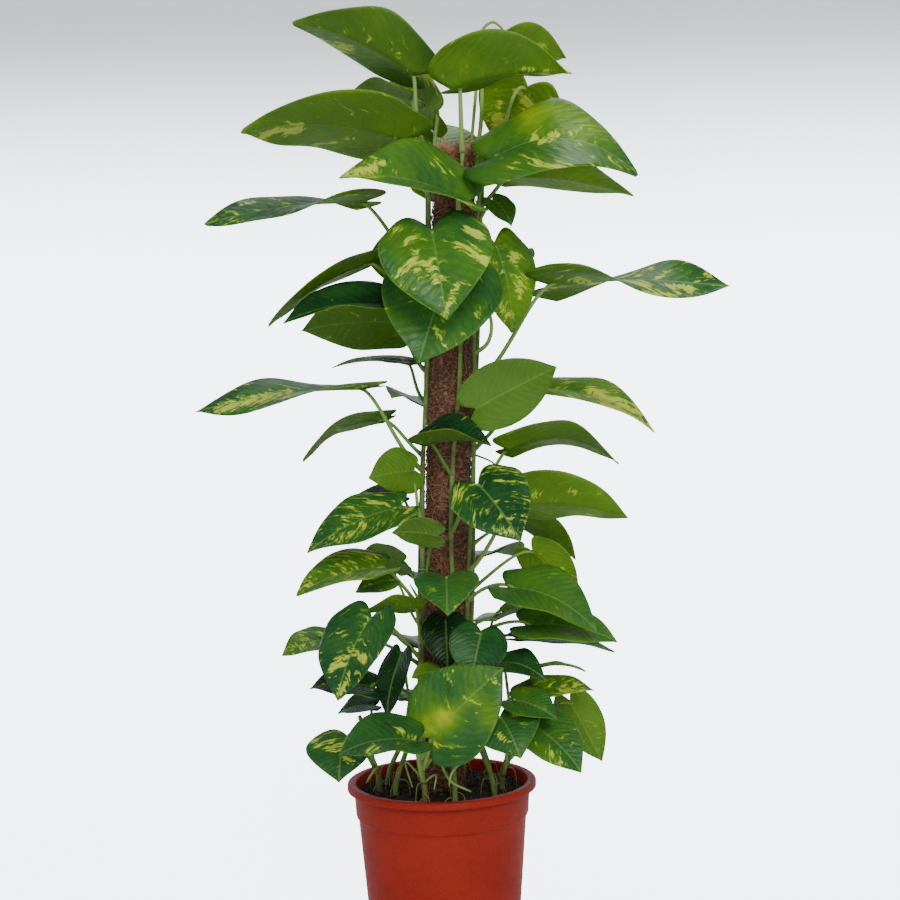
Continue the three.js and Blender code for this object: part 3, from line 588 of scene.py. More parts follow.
def ring_faces(rings: int, sides: int, closed: bool = False) -> list:
    """Faces between rings of points, facing outwards for rings listed upwards.

    Args:
        rings: Number of rings.
        sides: Points in each.
        closed: Whether the last ring joins the first.

    Returns:
        The faces as point numbers.
    """
    faces = []
    for i in range(rings if closed else rings - 1):
        below, above = i * sides, ((i + 1) % rings) * sides
        for k in range(sides):
            n = (k + 1) % sides
            faces.append((below + k, below + n, above + n, above + k))
    return faces


def circle(sides: int) -> np.ndarray:
    """Angles once round, in radians."""
    return np.linspace(0, 2 * math.pi, sides, endpoint=False)


def tube(points: np.ndarray, radii: np.ndarray, sides: int,
         bulge: float = 0.5) -> tuple[np.ndarray, list]:
    """A rod of changing radius along points, rounded off at both ends.

    Args:
        points: Points of its middle line, one a row.
        radii: The radius at each point.
        sides: Corners of its section.
        bulge: How far each end swells out, as a share of its radius.

    Returns:
        Its points and its faces.
    """
    tangents = unit(np.gradient(points, axis=0))
    steep = abs(tangents[0][2]) >= 0.9
    side = np.array([1.0, 0.0, 0.0]) if steep else np.cross(UP, tangents[0])
    angles = circle(sides)
    rings = []
    for point, along, radius in zip(points, tangents, radii):
        side = unit(side - along * side.dot(along))
        across = np.cross(along, side)
        spokes = np.cos(angles)[:, None] * side + np.sin(angles)[:, None] * across
        rings.append(point + radius * spokes)
    corners = np.vstack(rings + [points[:1] - tangents[:1] * radii[0] * bulge,
                                 points[-1:] + tangents[-1:] * radii[-1] * bulge])
    faces = ring_faces(len(points), sides)
    last = (len(points) - 1) * sides
    for k in range(sides):
        faces.append((len(corners) - 2, (k + 1) % sides, k))
        faces.append((len(corners) - 1, last + k, last + (k + 1) % sides))
    return corners, faces


@dataclass(frozen=True)
class Rod:
    """How a stem, stalk or root is coloured: its green, its wear and where its pattern starts."""

    tone: float
    age: float
    seed: float


@dataclass
class Vine:
    """A leafy stem: the stem with its swollen joints, the leaf stalks and the blades.

    Lengths are in mm. A stem that reaches past climb_from climbs along the pole: it leans in to
    bend_height and is held every hold_step from first_hold up, where it sways a little to each
    side. A shorter stem stands free and leans out. The knee, the sheath and the scar of a stalk
    are its swelling in mm, or its strength, then its place and length as shares of the stalk.
    """

    number: int
    plan: VinePlan
    stations: int = 34
    half_columns: int = 11
    stalk_sides: int = 8
    stem_sides: int = 12
    root_sides: int = 6
    rootlets: int = 4
    stem_steps: int = 9
    upright: float = 12.0
    off_sleeve: float = 0.8
    climb_from: float = 320.0
    bend_height: float = 215.0
    first_hold: float = 265.0
    hold_step: float = 75.0
    last_hold: float = 30.0
    sway_deg: float = 7.0
    sway_rate: float = 0.021
    tip_lean: float = 3.0
    free_leans: tuple = ((6.0, 0.45), (18.0, 1.0))
    joint_swell: float = 0.55
    joint_length: float = 4.5
    scar_length: float = 3.0
    stalk_meets: float = 0.06
    stalk_leaves: tuple = (0.30, 0.22)
    stalk_arrives: tuple = (0.22, 0.10)
    stalk_points: int = 17
    stalk_growth: float = 0.01
    stalk_taper: tuple = (1.25, 0.4)
    knee: tuple = (0.35, 0.9, 0.06)
    sheath: tuple = (0.8, 0.0, 0.08)
    stalk_scar: tuple = (1.0, 0.0, 0.03)
    shoot_taper: float = 0.4
    shoot_tip: float = 0.7
    rootlet_radii: tuple = (0.62, 0.3)
    rootlet_depth: float = 3.0
    bend_mix: tuple = (0.45, 0.55)
    tip_bevel: float = 0.3
    rib_width: float = 1.6
    rib_taper: float = 0.8
    rib_groove: float = 0.35
    rib_keel: float = 0.9
    rim_thickness: float = 0.55
    vein_sweep: tuple = (0.20, 0.13)

    def __post_init__(self) -> None:
        """Read the plan and lay out the stem."""
        rows = enumerate(self.plan.leaves)
        self.leaves = [Leaf(*row, phase=1.7 * i, seed=7.3 * self.number + 1.9 * i) for i, row in rows]
        self.corners = self.stem_corners()

    def stem_corners(self) -> np.ndarray:
        """The points that the stem passes: upright in the soil, then climbing or leaning out."""
        plan = self.plan
        out = outward(plan.azimuth)
        climb = COIR_RADIUS + CLEARANCE + STEM_RADIUS + self.off_sleeve
        foot = pole_axis(SOIL_HEIGHT) + out * plan.foot
        rows = [foot + UP * (height - SOIL_HEIGHT) for height in (STEM_FOOT, SOIL_HEIGHT + self.upright)]
        if plan.top > self.climb_from:
            away = self.bend_mix[0] * plan.foot + self.bend_mix[1] * climb
            rows.append(pole_axis(self.bend_height) + out * away)
            for z in np.arange(self.first_hold, plan.top - self.last_hold, self.hold_step):
                sway = plan.azimuth + self.sway_deg * math.sin(self.sway_rate * z + plan.azimuth)
                rows.append(pole_axis(z) + outward(sway) * climb)
            rows.append(pole_axis(plan.top) + out * (climb + self.tip_lean))
        else:
            rows += [foot + out * away + UP * share * (plan.top - SOIL_HEIGHT)
                     for away, share in self.free_leans]
        return np.array(rows)

    def stem_at(self, z: float) -> np.ndarray:
        """The stem's middle at a height, in mm."""
        heights = self.corners[:, 2]
        k = int(np.clip(np.searchsorted(heights, z), 1, len(heights) - 1))
        share = np.clip((z - heights[k - 1]) / (heights[k] - heights[k - 1]), 0, 1)
        return self.corners[k - 1] * (1 - share) + self.corners[k] * share

    def stalk_line(self, leaf: Leaf) -> np.ndarray:
        """The middle line of a leaf's stalk, from inside the stem into the blade."""
        start = self.stem_at(leaf.joint)
        end = BladeSurface(leaf).point(np.array(self.stalk_meets), np.array(0.0))
        span = float(np.linalg.norm(end - start))
        out = unit((end - start) * np.array([1.0, 1.0, 0.0]))
        first = start + span * (out * self.stalk_leaves[0] + UP * self.stalk_leaves[1])
        second = end + span * (UP * self.stalk_arrives[1] - out * self.stalk_arrives[0])
        t = np.linspace(0, 1, self.stalk_points)[:, None]
        near, far = (1 - t) ** 3 * start, t ** 3 * end
        return near + 3 * t * (1 - t) ** 2 * first + 3 * t * t * (1 - t) * second + far

    def add_stem(self, stock: MeshStock) -> None:
        """Add the stem, thicker at each joint, with its values for colour."""
        line = smooth_path(self.corners, self.stem_steps)
        corner = np.arange(len(line)) / self.stem_steps
        radii = STEM_RADIUS * (1 - STEM_TAPER * corner / len(self.corners))
        scars = np.zeros(len(line))
        for leaf in self.leaves:
            radii = radii + bump(line[:, 2], self.joint_swell, leaf.joint, self.joint_length)
            scars = np.maximum(scars, bump(line[:, 2], 1.0, leaf.joint, self.scar_length))
        points, faces = tube(line, radii, self.stem_sides)
        self.add_rod(stock, points, faces, scars, Rod(tone=0.35, age=1.0, seed=3.1 * self.number))

    @staticmethod
    def add_rod(stock: MeshStock, points: np.ndarray, faces: list, scars: np.ndarray, rod: Rod) -> None:
        """Add a stem or stalk shell with the values that its colour follows.

        Args:
            stock: The mesh it goes into.
            points: Its points, ring by ring, then its two end points.
            faces: Its faces.
            scars: How scarred it is at each ring.
            rod: Its colour.
        """
        rings = len(scars)
        sides = (len(points) - 2) // rings
        round_once = np.abs(np.linspace(-1, 1, sides, endpoint=False))
        share = np.append(np.repeat(np.linspace(0, 1, rings), sides), [0.0, 1.0])
        angle = np.append(np.tile(round_once, rings), [0.5, 0.5])
        place = np.stack([share, angle, np.full_like(share, rod.seed)], axis=1)
        ring = np.append(np.repeat(scars, sides), [0.0, 0.0])
        look = np.stack([np.full_like(share, rod.tone), np.full_like(share, rod.age), ring], axis=1)
        stock.add(points, faces, Skin.STALK, place, look)

    def add_stalk(self, stock: MeshStock, leaf: Leaf) -> None:
        """Add the stalk of a leaf, with a sheath at the stem and a swollen knee under the blade."""
        line = self.stalk_line(leaf)
        share = np.linspace(0, 1, len(line))
        start, taper = self.stalk_taper
        radii = (PETIOLE_RADIUS + self.stalk_growth * leaf.width) * (start - taper * share)
        radii = radii + bump(share, *self.knee) + bump(share, *self.sheath)
        scars = bump(share, *self.stalk_scar)
        points, faces = tube(line, radii, self.stalk_sides)
        # The stalk takes its leaf's tone, painted shade and light included.
        self.add_rod(stock, points, faces, scars, Rod(leaf.tone, age=0.0, seed=leaf.seed))

    def add_shoot(self, stock: MeshStock, row: tuple) -> None:
        """Add an aerial root, a cut stub or an unopened leaf."""
        joint, radius, *places = row
        corners = np.array([self.stem_at(joint)] + [sighted(*place) for place in places])
        line = smooth_path(corners, 7)
        radii = radius * (1 - self.shoot_taper * np.linspace(0, 1, len(line)))
        radii[-2:] *= self.shoot_tip
        points, faces = tube(line, radii, self.stalk_sides)
        self.add_rod(stock, points, faces, np.zeros(len(line)), Rod(tone=0.8, age=0.4, seed=5.7 * joint))

    def add_rootlets(self, stock: MeshStock) -> None:
        """Add thin pale roots that leave the stem's foot, bow out and dip into the compost."""
        for k in range(self.rootlets):
            out = outward(math.degrees(2.4 * k + 1.1 * self.number) + 90)
            aside = np.cross(UP, out)
            low = SOIL_HEIGHT + 5.0 + 5.5 * k
            reach = 7.0 + 2.3 * ((3 * k + self.number) % 4)
            end = SOIL_HEIGHT - self.rootlet_depth - low
            bows = ((0.0, 0.0, 0.0), (0.35, 0.0, 2.5), (0.8, 2.2, -1.5), (1.0, 1.2, end))
            corners = [self.stem_at(low) + share * reach * out + swing * aside + rise * UP
                       for share, swing, rise in bows]
            line = smooth_path(np.array(corners), 6)
            points, faces = tube(line, np.linspace(*self.rootlet_radii, len(line)), self.root_sides)
            scars = np.full(len(line), 0.8)
            self.add_rod(stock, points, faces, scars, Rod(tone=1.0, age=1.0, seed=2.3 * k + self.number))

    def grid(self) -> tuple[np.ndarray, np.ndarray]:
        """Places of a blade's points along t and u, closer at the stalk and towards the edges."""
        near, far = np.linspace(0, 0.3, 9), np.linspace(0.34, 0.985, self.stations - 10)
        half = np.linspace(0, 1, self.half_columns + 1) ** 0.9
        return np.meshgrid(np.append(near, far), np.append(-half[:0:-1], half), indexing="ij")

    def add_blade(self, stock: MeshStock, leaf: Leaf) -> None:
        """Add a blade as a closed shell: two faces of the same grid and a rim, with a raised rib."""
        surface = BladeSurface(leaf)
        t, u = self.grid()
        middle, normal = surface.point(t, u), surface.facing(t, u)
        reach = 0.5 * leaf.width * blade_width(t) * u
        rib = bump(reach, 1.0, 0.0, self.rib_width) * (1 - self.rib_taper * t)
        half = 0.5 * BLADE_THICKNESS * np.where(np.abs(u) > 0.999, self.rim_thickness, 1.0)
        top = middle + normal * (half - self.rib_groove * rib)[..., None]
        under = middle - normal * (half + self.rib_keel * rib)[..., None]
        tip = surface.point(np.array([1.0]), np.array([0.0]))
        lean = self.tip_bevel * surface.facing(np.array([0.96]), np.array([0.0]))
        points = np.vstack([top.reshape(-1, 3), tip + lean, under.reshape(-1, 3), tip - lean])

        along, across = np.append(t.ravel(), 1.0), np.append(u.ravel(), 0.0)
        place = np.stack([along, across, np.full_like(along, leaf.seed)], axis=1)
        width_here = np.append(blade_width(t).ravel(), 0.0)
        straight, curved = self.vein_sweep
        vein = along - width_here * (straight * np.abs(across) + curved * across * across)
        aside_cm = 0.1 * np.append(reach.ravel(), 0.0)
        streak, change = marked(leaf.name, np.vstack([middle.reshape(-1, 3), tip]))
        ribs = np.stack([vein, aside_cm, streak], axis=1)
        # The tone carries painted shade and light, and so do some of the washes' changes of tone.
        tone = TONE_SPAN * np.clip(leaf.tone + change, 0, 1 / TONE_SPAN)
        cream = np.full_like(along, leaf.cream)
        looks = [np.stack([tone, cream, np.full_like(along, face.value)], axis=1) for face in Face]
        stock.add(points, self.blade_faces(*t.shape), Skin.BLADE, np.vstack([place, place]),
                  np.vstack(looks), np.vstack([ribs, ribs]))

    @staticmethod
    def blade_faces(rows: int, width: int) -> list:
        """Faces of a blade's grid on both faces, with its rim.

        Args:
            rows: Rows of the grid, from the stalk to the last before the tip.
            width: Points in each row.

        Returns:
            The faces as tuples of point numbers.
        """
        tip = rows * width
        far = tip + 1
        faces = []
        for i in range(rows - 1):
            for k in range(width - 1):
                a = i * width + k
                faces.append((a, a + 1, a + width + 1, a + width))
                faces.append((far + a, far + a + width, far + a + width + 1, far + a + 1))
        last = (rows - 1) * width
        for k in range(width - 1):
            faces.append((last + k, last + k + 1, tip))
            faces.append((far + last + k, far + tip, far + last + k + 1))
            faces.append((k, far + k, far + k + 1, k + 1))
        for i in range(rows):
            left, right = i * width, i * width + width - 1
            left_next = left + width if i < rows - 1 else tip
            right_next = right + width if i < rows - 1 else tip
            faces.append((right, far + right, far + right_next, right_next))
            faces.append((left_next, far + left_next, far + left, left))
        return faces

    def build(self, finishes: Sequence[bpy.types.Material]) -> bpy.types.Object:
        """Make the whole vine as one piece that replaces its solid.

        Args:
            finishes: The blade material and the stalk material.

        Returns:
            The finished piece.
        """
        stock = MeshStock()
        self.add_stem(stock)
        self.add_rootlets(stock)
        for leaf in self.leaves:
            self.add_stalk(stock, leaf)
            self.add_blade(stock, leaf)
        for row in self.plan.shoots:
            self.add_shoot(stock, row)
        piece = stock.build(f"leafy_vine_{self.number}", finishes)
        return hand_over(piece, f"vine_{self.number}")


@dataclass(frozen=True)
class NodeSheet:
    """Short ways to add and wire the nodes of a tree."""

    tree: bpy.types.NodeTree

    def node(self, kind: str, inputs: dict | None = None, **settings: object) -> bpy.types.Node:
        """Add a node.

        Args:
            kind: Blender's name for the type of node.
            inputs: Sockets by name or number, each with a value or a socket that feeds it.
            settings: Values of the node's own properties.

        Returns:
            The node.
        """
        made = self.tree.nodes.new(kind)
        for key, value in settings.items():
            setattr(made, key, value)
        for key, value in (inputs or {}).items():
            self.feed(made.inputs[key], value)
        return made

    def feed(self, socket: bpy.types.NodeSocket, value: object) -> None:
        """Link a socket to another, or set its value."""
        if isinstance(value, bpy.types.NodeSocket):
            self.tree.links.new(value, socket)
        else:
            socket.default_value = value

    def calc(self, operation: str, a: object, b: object = 0.0, c: object = None,
             clamp: bool = False) -> bpy.types.NodeSocket:
        """The result of a Math node.

        Args:
            operation: Blender's name for what it works out.
            a: Its first value or socket.
            b: Its second.
            c: Its third, where it has one.
            clamp: Whether the result is kept from 0 to 1.

        Returns:
            The socket of the result.
        """
        inputs = {0: a, 1: b} if c is None else {0: a, 1: b, 2: c}
        return self.node("ShaderNodeMath", inputs, operation=operation, use_clamp=clamp).outputs[0]

    def plus(self, a: object, b: object) -> bpy.types.NodeSocket:
        """The sum of two values."""
        return self.calc("ADD", a, b)

    def minus(self, a: object, b: object) -> bpy.types.NodeSocket:
        """The first value less the second."""
        return self.calc("SUBTRACT", a, b)

    def times(self, a: object, b: object) -> bpy.types.NodeSocket:
        """The product of two values."""
        return self.calc("MULTIPLY", a, b)

    def blend(self, share: object, a: object, b: object) -> bpy.types.NodeSocket:
        """A colour between two others."""
        return self.node("ShaderNodeMix", {0: share, 6: a, 7: b}, data_type="RGBA").outputs[2]

    def step(self, value: object, low: object, high: object) -> bpy.types.NodeSocket:
        """0 below low and 1 above high, with a smooth rise between them."""
        made = self.node("ShaderNodeMapRange", {"Value": value, "From Min": low, "From Max": high},
                         interpolation_type="SMOOTHSTEP")
        return made.outputs["Result"]

    def noise(self, place: object, scale: object, detail: float = 4.0,
              rough: float = 0.55) -> bpy.types.NodeSocket:
        """The grey value of a noise at a place."""
        values = {"Vector": place, "Scale": scale, "Detail": detail, "Roughness": rough}
        return self.node("ShaderNodeTexNoise", values).outputs[0]

    def triple(self, x: object, y: object, z: object) -> bpy.types.NodeSocket:
        """A vector from three values."""
        return self.node("ShaderNodeCombineXYZ", {0: x, 1: y, 2: z}).outputs[0]

    def split(self, vector: object) -> tuple:
        """The three values of a vector."""
        parts = self.node("ShaderNodeSeparateXYZ", {0: vector}).outputs
        return parts[0], parts[1], parts[2]

    def attribute(self, name: str) -> bpy.types.NodeSocket:
        """The vector of a mesh attribute."""
        return self.node("ShaderNodeAttribute", attribute_name=name).outputs["Vector"]

    def object_place(self) -> bpy.types.NodeSocket:
        """Place on the object, in metres."""
        return self.node("ShaderNodeTexCoord").outputs["Object"]

    def ramp(self, value: object, stops: Sequence[tuple]) -> bpy.types.NodeSocket:
        """A colour that runs through stops of (place, colour)."""
        made = self.node("ShaderNodeValToRGB", {0: value})
        band = made.color_ramp
        while len(band.elements) < len(stops):
            band.elements.new(0.5)
        for element, (place, colour) in zip(band.elements, stops):
            element.position = place
            element.color = (*colour, 1.0)
        return made.outputs[0]

    def relief(self, height: object, strength: float, distance: float) -> bpy.types.NodeSocket:
        """A bumped normal from a height."""
        values = {"Height": height, "Strength": strength, "Distance": distance}
        return self.node("ShaderNodeBump", values).outputs[0]


def paint(colour: Sequence[float]) -> tuple:
    """A colour with full alpha."""
    return (*colour, 1.0)


def mottling() -> bpy.types.NodeTree:
    """The shared effect of uneven, living surfaces: a broad value, a fine value and a height.

    Returns:
        The node group, made on first use.
    """
    found = bpy.data.node_groups.get("uneven growth")
    if found:
        return found
    group = bpy.data.node_groups.new("uneven growth", "ShaderNodeTree")
    group.interface.new_socket("Place", in_out="INPUT", socket_type="NodeSocketVector")
    for name in ("Scale", "Spread"):
        group.interface.new_socket(name, in_out="INPUT", socket_type="NodeSocketFloat")
    for name in ("Broad", "Fine", "Height"):
        group.interface.new_socket(name, in_out="OUTPUT", socket_type="NodeSocketFloat")
    sheet = NodeSheet(group)
    entry = sheet.node("NodeGroupInput").outputs
    broad = sheet.noise(entry["Place"], entry["Scale"], 5.0, 0.6)
    fine = sheet.noise(entry["Place"], sheet.times(entry["Scale"], 6.5), 3.0, 0.6)
    half = sheet.times(entry["Spread"], 0.5)
    low, high = sheet.minus(0.5, half), sheet.plus(0.5, half)
    height = sheet.calc("MULTIPLY_ADD", fine, 0.5, sheet.times(broad, 0.5))
    sheet.node("NodeGroupOutput", {"Broad": sheet.step(broad, low, high),
                                   "Fine": sheet.step(fine, low, high), "Height": height})
    return group


@dataclass(frozen=True)
class Finish:
    """A finish with its evenness: how coarse its mottling is and how far it reaches."""

    name: str
    scale: float = 60.0
    spread: float = 0.35

    def begin(self) -> tuple[bpy.types.Material, NodeSheet, bpy.types.Node, bpy.types.Node]:
        """Start the material.

        Returns:
            The material, its sheet, its surface shader and its mottling on Object coordinates.
        """
        material = bpy.data.materials.new(self.name)
        material.use_nodes = True
        material.node_tree.nodes.clear()
        sheet = NodeSheet(material.node_tree)
        surface = sheet.node("ShaderNodeBsdfPrincipled")
        sheet.node("ShaderNodeOutputMaterial", {"Surface": surface.outputs[0]})
        uneven = sheet.node("ShaderNodeGroup", node_tree=mottling())
        sheet.feed(uneven.inputs["Place"], sheet.object_place())
        sheet.feed(uneven.inputs["Scale"], self.scale)
        sheet.feed(uneven.inputs["Spread"], self.spread)
        return material, sheet, surface, uneven


@dataclass(frozen=True)
class BladeValues:
    """What a blade's colour follows at each point, as sockets on its sheet.

    The vein value is the same along one side vein. Aside is the way from the midrib in cm. The tone
    holds painted shade and light besides the leaf's own green.
    """

    u: bpy.types.NodeSocket
    seed: bpy.types.NodeSocket
    tone: bpy.types.NodeSocket
    cream: bpy.types.NodeSocket
    under: bpy.types.NodeSocket
    vein: bpy.types.NodeSocket
    aside: bpy.types.NodeSocket
    streak: bpy.types.NodeSocket


@dataclass(frozen=True)
class BladeFinish(Finish):
    """Marbled pothos blades: glossy green above, matt and yellower below, streaked with cream.

    A stretch is how many times a pattern turns along the veins and across them. Edges are where
    a mask starts and where it is full. A share is how far a colour or a mask counts.
    """

    name: str = "marbled leaf blade"
    scale: float = 22.0
    # Leaf greens from dark to lime; the extra blue in the dark and middle stops is a painted sheen of
    # reflected sky.
    greens_and_sheen: tuple = ((0.0, (0.006, 0.032, 0.008)), (0.24, (0.012, 0.076, 0.020)),
                     (0.44, (0.034, 0.144, 0.026)), (0.64, (0.082, 0.215, 0.016)),
                     (0.8, (0.155, 0.310, 0.010)), (1.0, (0.48, 0.57, 0.015)))
    cream: tuple = (0.60, 0.70, 0.075)
    # The pale green of the marbling, also used for the painted highlight along the blade's edge.
    pale_green: tuple = (0.24, 0.42, 0.02)
    # The underside's own yellower green, made lighter to paint the light that shines through the blade.
    under: tuple = (0.150, 0.265, 0.010)
    under_deep: tuple = (0.05, 0.13, 0.03)
    under_line: tuple = (0.02, 0.06, 0.004)
    vein: tuple = (0.20, 0.37, 0.07)
    # Dark green of the painted shade in the furrows between side veins; the fine grit darkens towards it
    # too.
    furrow: tuple = (0.004, 0.016, 0.002)
    veins: float = 12.0
    vein_wobble: float = 0.13
    patch_stretch: tuple = (9.5, 1.25)
    fleck_stretch: tuple = (34.0, 2.6)
    patch_level: tuple = (0.70, 0.15)
    fleck_share: float = 0.72
    half_shift: float = 7.0
    cream_from: float = 0.715
    cream_reach: float = 0.19
    cream_edge: float = 0.05
    pale_edges: tuple = (0.055, 0.015)
    pale_share: float = 0.75
    tone_jitter: float = 0.22
    midrib_edges: tuple = (0.16, 0.04)
    line_edges: tuple = (0.86, 1.0)
    line_share: float = 0.07
    rib_share: float = 0.5
    furrow_shade_share: float = 0.05
    grit_share: float = 0.34
    highlight_rim_edges: tuple = (0.965, 1.0)
    highlight_rim_share: float = 0.22
    under_share: tuple = (0.42, 0.34)
    under_line_share: float = 0.2
    under_tone: tuple = (0.8, 0.3)
    gloss: tuple = (0.12, 0.28)
    under_matt: float = 0.24

    def build(self) -> bpy.types.Material:
        """Make the material from the blade's own place, look and ribs attributes."""
        material, sheet, surface, uneven = self.begin()
        _, u, seed = sheet.split(sheet.attribute("place"))
        tone, cream, under = sheet.split(sheet.attribute("look"))
        vein, aside, streak = sheet.split(sheet.attribute("ribs"))
        wobble = sheet.noise(sheet.triple(sheet.times(vein, 4.0), aside, seed), 1.0, 3.0)
        bent = sheet.plus(vein, sheet.times(sheet.minus(wobble, 0.5), self.vein_wobble))
        blade = BladeValues(u, seed, tone, cream, under, bent, aside, streak)
        wave = sheet.calc("COSINE", sheet.times(bent, 2 * math.pi * self.veins))
        midrib = sheet.step(sheet.calc("ABSOLUTE", aside), *self.midrib_edges)

        jitter = sheet.times(sheet.minus(uneven.outputs["Broad"], 0.5), self.tone_jitter)
        # The tone holds painted shade and light, and the ramp's bluer greens paint a reflected sheen.
        green = sheet.ramp(sheet.calc("ADD", tone, jitter, clamp=True), self.greens_and_sheen)
        pale, rich = self.marbling(sheet, blade)
        colour = sheet.blend(sheet.times(pale, self.pale_share), green, paint(self.pale_green))
        colour = sheet.blend(rich, colour, paint(self.cream))
        lines = sheet.step(wave, *self.line_edges)
        ribs = sheet.calc("MAXIMUM", sheet.times(lines, self.line_share), midrib)
        colour = self.ribbed(sheet, blade, colour, wave, ribs)
        colour = sheet.blend(under, colour, self.turned(sheet, blade, colour, rich, lines))
        # A painted highlight: a paler green line along the blade's edge.
        rim = sheet.step(sheet.calc("ABSOLUTE", u), *self.highlight_rim_edges)
        colour = sheet.blend(sheet.times(rim, self.highlight_rim_share), colour, paint(self.pale_green))
        sheet.feed(surface.inputs["Base Color"], colour)

        gloss = sheet.calc("MULTIPLY_ADD", uneven.outputs["Fine"], *self.gloss)
        sheet.feed(surface.inputs["Roughness"], sheet.plus(gloss, sheet.times(under, self.under_matt)))
        surface.inputs["Specular IOR Level"].default_value = 0.14
        surface.inputs["Subsurface Weight"].default_value = 0.3
        surface.inputs["Subsurface Radius"].default_value = (0.6, 1.0, 0.2)
        surface.inputs["Subsurface Scale"].default_value = 0.0016
        quilt = sheet.times(sheet.plus(wave, 1.0), 0.13)
        grooves = sheet.plus(sheet.times(midrib, 0.3), quilt)
        swell = sheet.minus(sheet.times(uneven.outputs["Height"], 0.4), grooves)
        sheet.feed(surface.inputs["Normal"], sheet.relief(swell, 0.9, 0.0011))
        return material

    def marbling(self, sheet: NodeSheet, blade: BladeValues) -> tuple:
        """Broad patches, fine flecks and the leaf's own streaks, drawn out along the veins.

        Args:
            sheet: The material's sheet.
            blade: The blade's values.

        Returns:
            Where the blade turns pale green, and where it turns cream.
        """
        halves = sheet.times(sheet.calc("GREATER_THAN", blade.aside, 0.0), self.half_shift)
        across = sheet.plus(sheet.times(sheet.calc("ABSOLUTE", blade.u), self.patch_stretch[1]), halves)
        patches = sheet.noise(sheet.triple(sheet.times(blade.vein, self.patch_stretch[0]), across,
                                           sheet.times(blade.seed, 3.7)), 1.0, 5.0, 0.62)
        flecks = sheet.noise(sheet.triple(sheet.times(blade.vein, self.fleck_stretch[0]),
                                          sheet.times(across, self.fleck_stretch[1]), blade.seed),
                             1.0, 3.0, 0.6)
        spots = sheet.times(sheet.minus(flecks, 0.5), self.fleck_share)
        broad = sheet.calc("MULTIPLY_ADD", patches, *self.patch_level)
        marks = sheet.plus(sheet.plus(broad, spots), blade.streak)
        edge = sheet.minus(self.cream_from, sheet.times(blade.cream, self.cream_reach))
        below, above = self.pale_edges
        pale = sheet.step(marks, sheet.minus(edge, below), sheet.plus(edge, above))
        return pale, sheet.step(marks, edge, sheet.plus(edge, self.cream_edge))

    def ribbed(self, sheet: NodeSheet, blade: BladeValues, colour: object, wave: object,
               ribs: object) -> bpy.types.NodeSocket:
        """The top's colour with its paler ribs, painted shade in the furrows between them and a fine grit.

        Args:
            sheet: The material's sheet.
            blade: The blade's values.
            colour: The colour so far.
            wave: 1 on a side vein and -1 halfway between two.
            ribs: How strongly the midrib and the side veins show.

        Returns:
            The new colour.
        """
        colour = sheet.blend(sheet.times(ribs, self.rib_share), colour, paint(self.vein))
        # Painted shade in the furrows between side veins, darkest halfway between two.
        furrow = sheet.times(sheet.minus(1.0, wave), self.furrow_shade_share)
        place = sheet.triple(sheet.times(blade.vein, 60.0), sheet.times(blade.aside, 9.0), blade.seed)
        grit = sheet.times(sheet.noise(place, 1.0, 3.0), self.grit_share)
        return sheet.blend(sheet.plus(furrow, grit), colour, paint(self.furrow))

    def turned(self, sheet: NodeSheet, blade: BladeValues, colour: object, rich: object,
               lines: object) -> bpy.types.NodeSocket:
        """The underside's colour: yellower than the top and lightened by painted light that shines through,
        with darker lines along the side veins.

        Args:
            sheet: The material's sheet.
            blade: The blade's values.
            colour: The colour of the top.
            rich: Where the blade is cream.
            lines: Where the side veins are.

        Returns:
            The underside's colour.
        """
        full, spared = self.under_share
        tint = sheet.minus(full, sheet.times(rich, spared))
        shade = sheet.blend(tint, colour, paint(self.under))
        shade = sheet.blend(sheet.times(lines, self.under_line_share), shade, paint(self.under_line))
        # Lower tones, which hold painted shade, darken the underside further.
        brightest, reach = self.under_tone
        dimmed = sheet.times(sheet.minus(brightest, blade.tone), reach)
        return sheet.blend(dimmed, shade, paint(self.under_deep))


@dataclass(frozen=True)
class StalkFinish(Finish):
    """Stems and leaf stalks: green and smooth while young, browner and ringed with age."""

    name: str = "green stalk"
    scale: float = 90.0
    young: tuple = (0.29, 0.43, 0.11)
    deep: tuple = (0.07, 0.19, 0.025)
    old: tuple = (0.13, 0.12, 0.045)
    scar: tuple = (0.27, 0.18, 0.10)

    def build(self) -> bpy.types.Material:
        """Make the material from the stalk's place and look attributes."""
        material, sheet, surface, uneven = self.begin()
        along, angle, seed = sheet.split(sheet.attribute("place"))
        tone, age, ring = sheet.split(sheet.attribute("look"))
        drawn = sheet.triple(sheet.times(along, 3.0), sheet.times(angle, 14.0), seed)
        streaks = sheet.noise(drawn, 1.0, 4.0, 0.6)
        # A leaf stalk's tone carries that leaf's painted shade and light.
        colour = sheet.blend(tone, paint(self.deep), paint(self.young))
        lined = sheet.times(sheet.step(streaks, 0.4, 0.65), 0.35)
        colour = sheet.blend(lined, colour, paint(self.deep))
        worn = sheet.times(age, sheet.step(uneven.outputs["Broad"], 0.15, 0.8))
        colour = sheet.blend(sheet.times(worn, 0.7), colour, paint(self.old))
        colour = sheet.blend(sheet.times(ring, 0.8), colour, paint(self.scar))
        sheet.feed(surface.inputs["Base Color"], colour)
        rough = sheet.plus(0.36, sheet.times(age, 0.18))
        sheet.feed(surface.inputs["Roughness"], sheet.plus(rough, sheet.times(streaks, 0.12)))
        surface.inputs["Specular IOR Level"].default_value = 0.2
        surface.inputs["Subsurface Weight"].default_value = 0.08
        surface.inputs["Subsurface Scale"].default_value = 0.001
        height = sheet.plus(streaks, sheet.times(uneven.outputs["Height"], 0.4))
        sheet.feed(surface.inputs["Normal"], sheet.relief(height, 0.3, 0.0004))
        return material


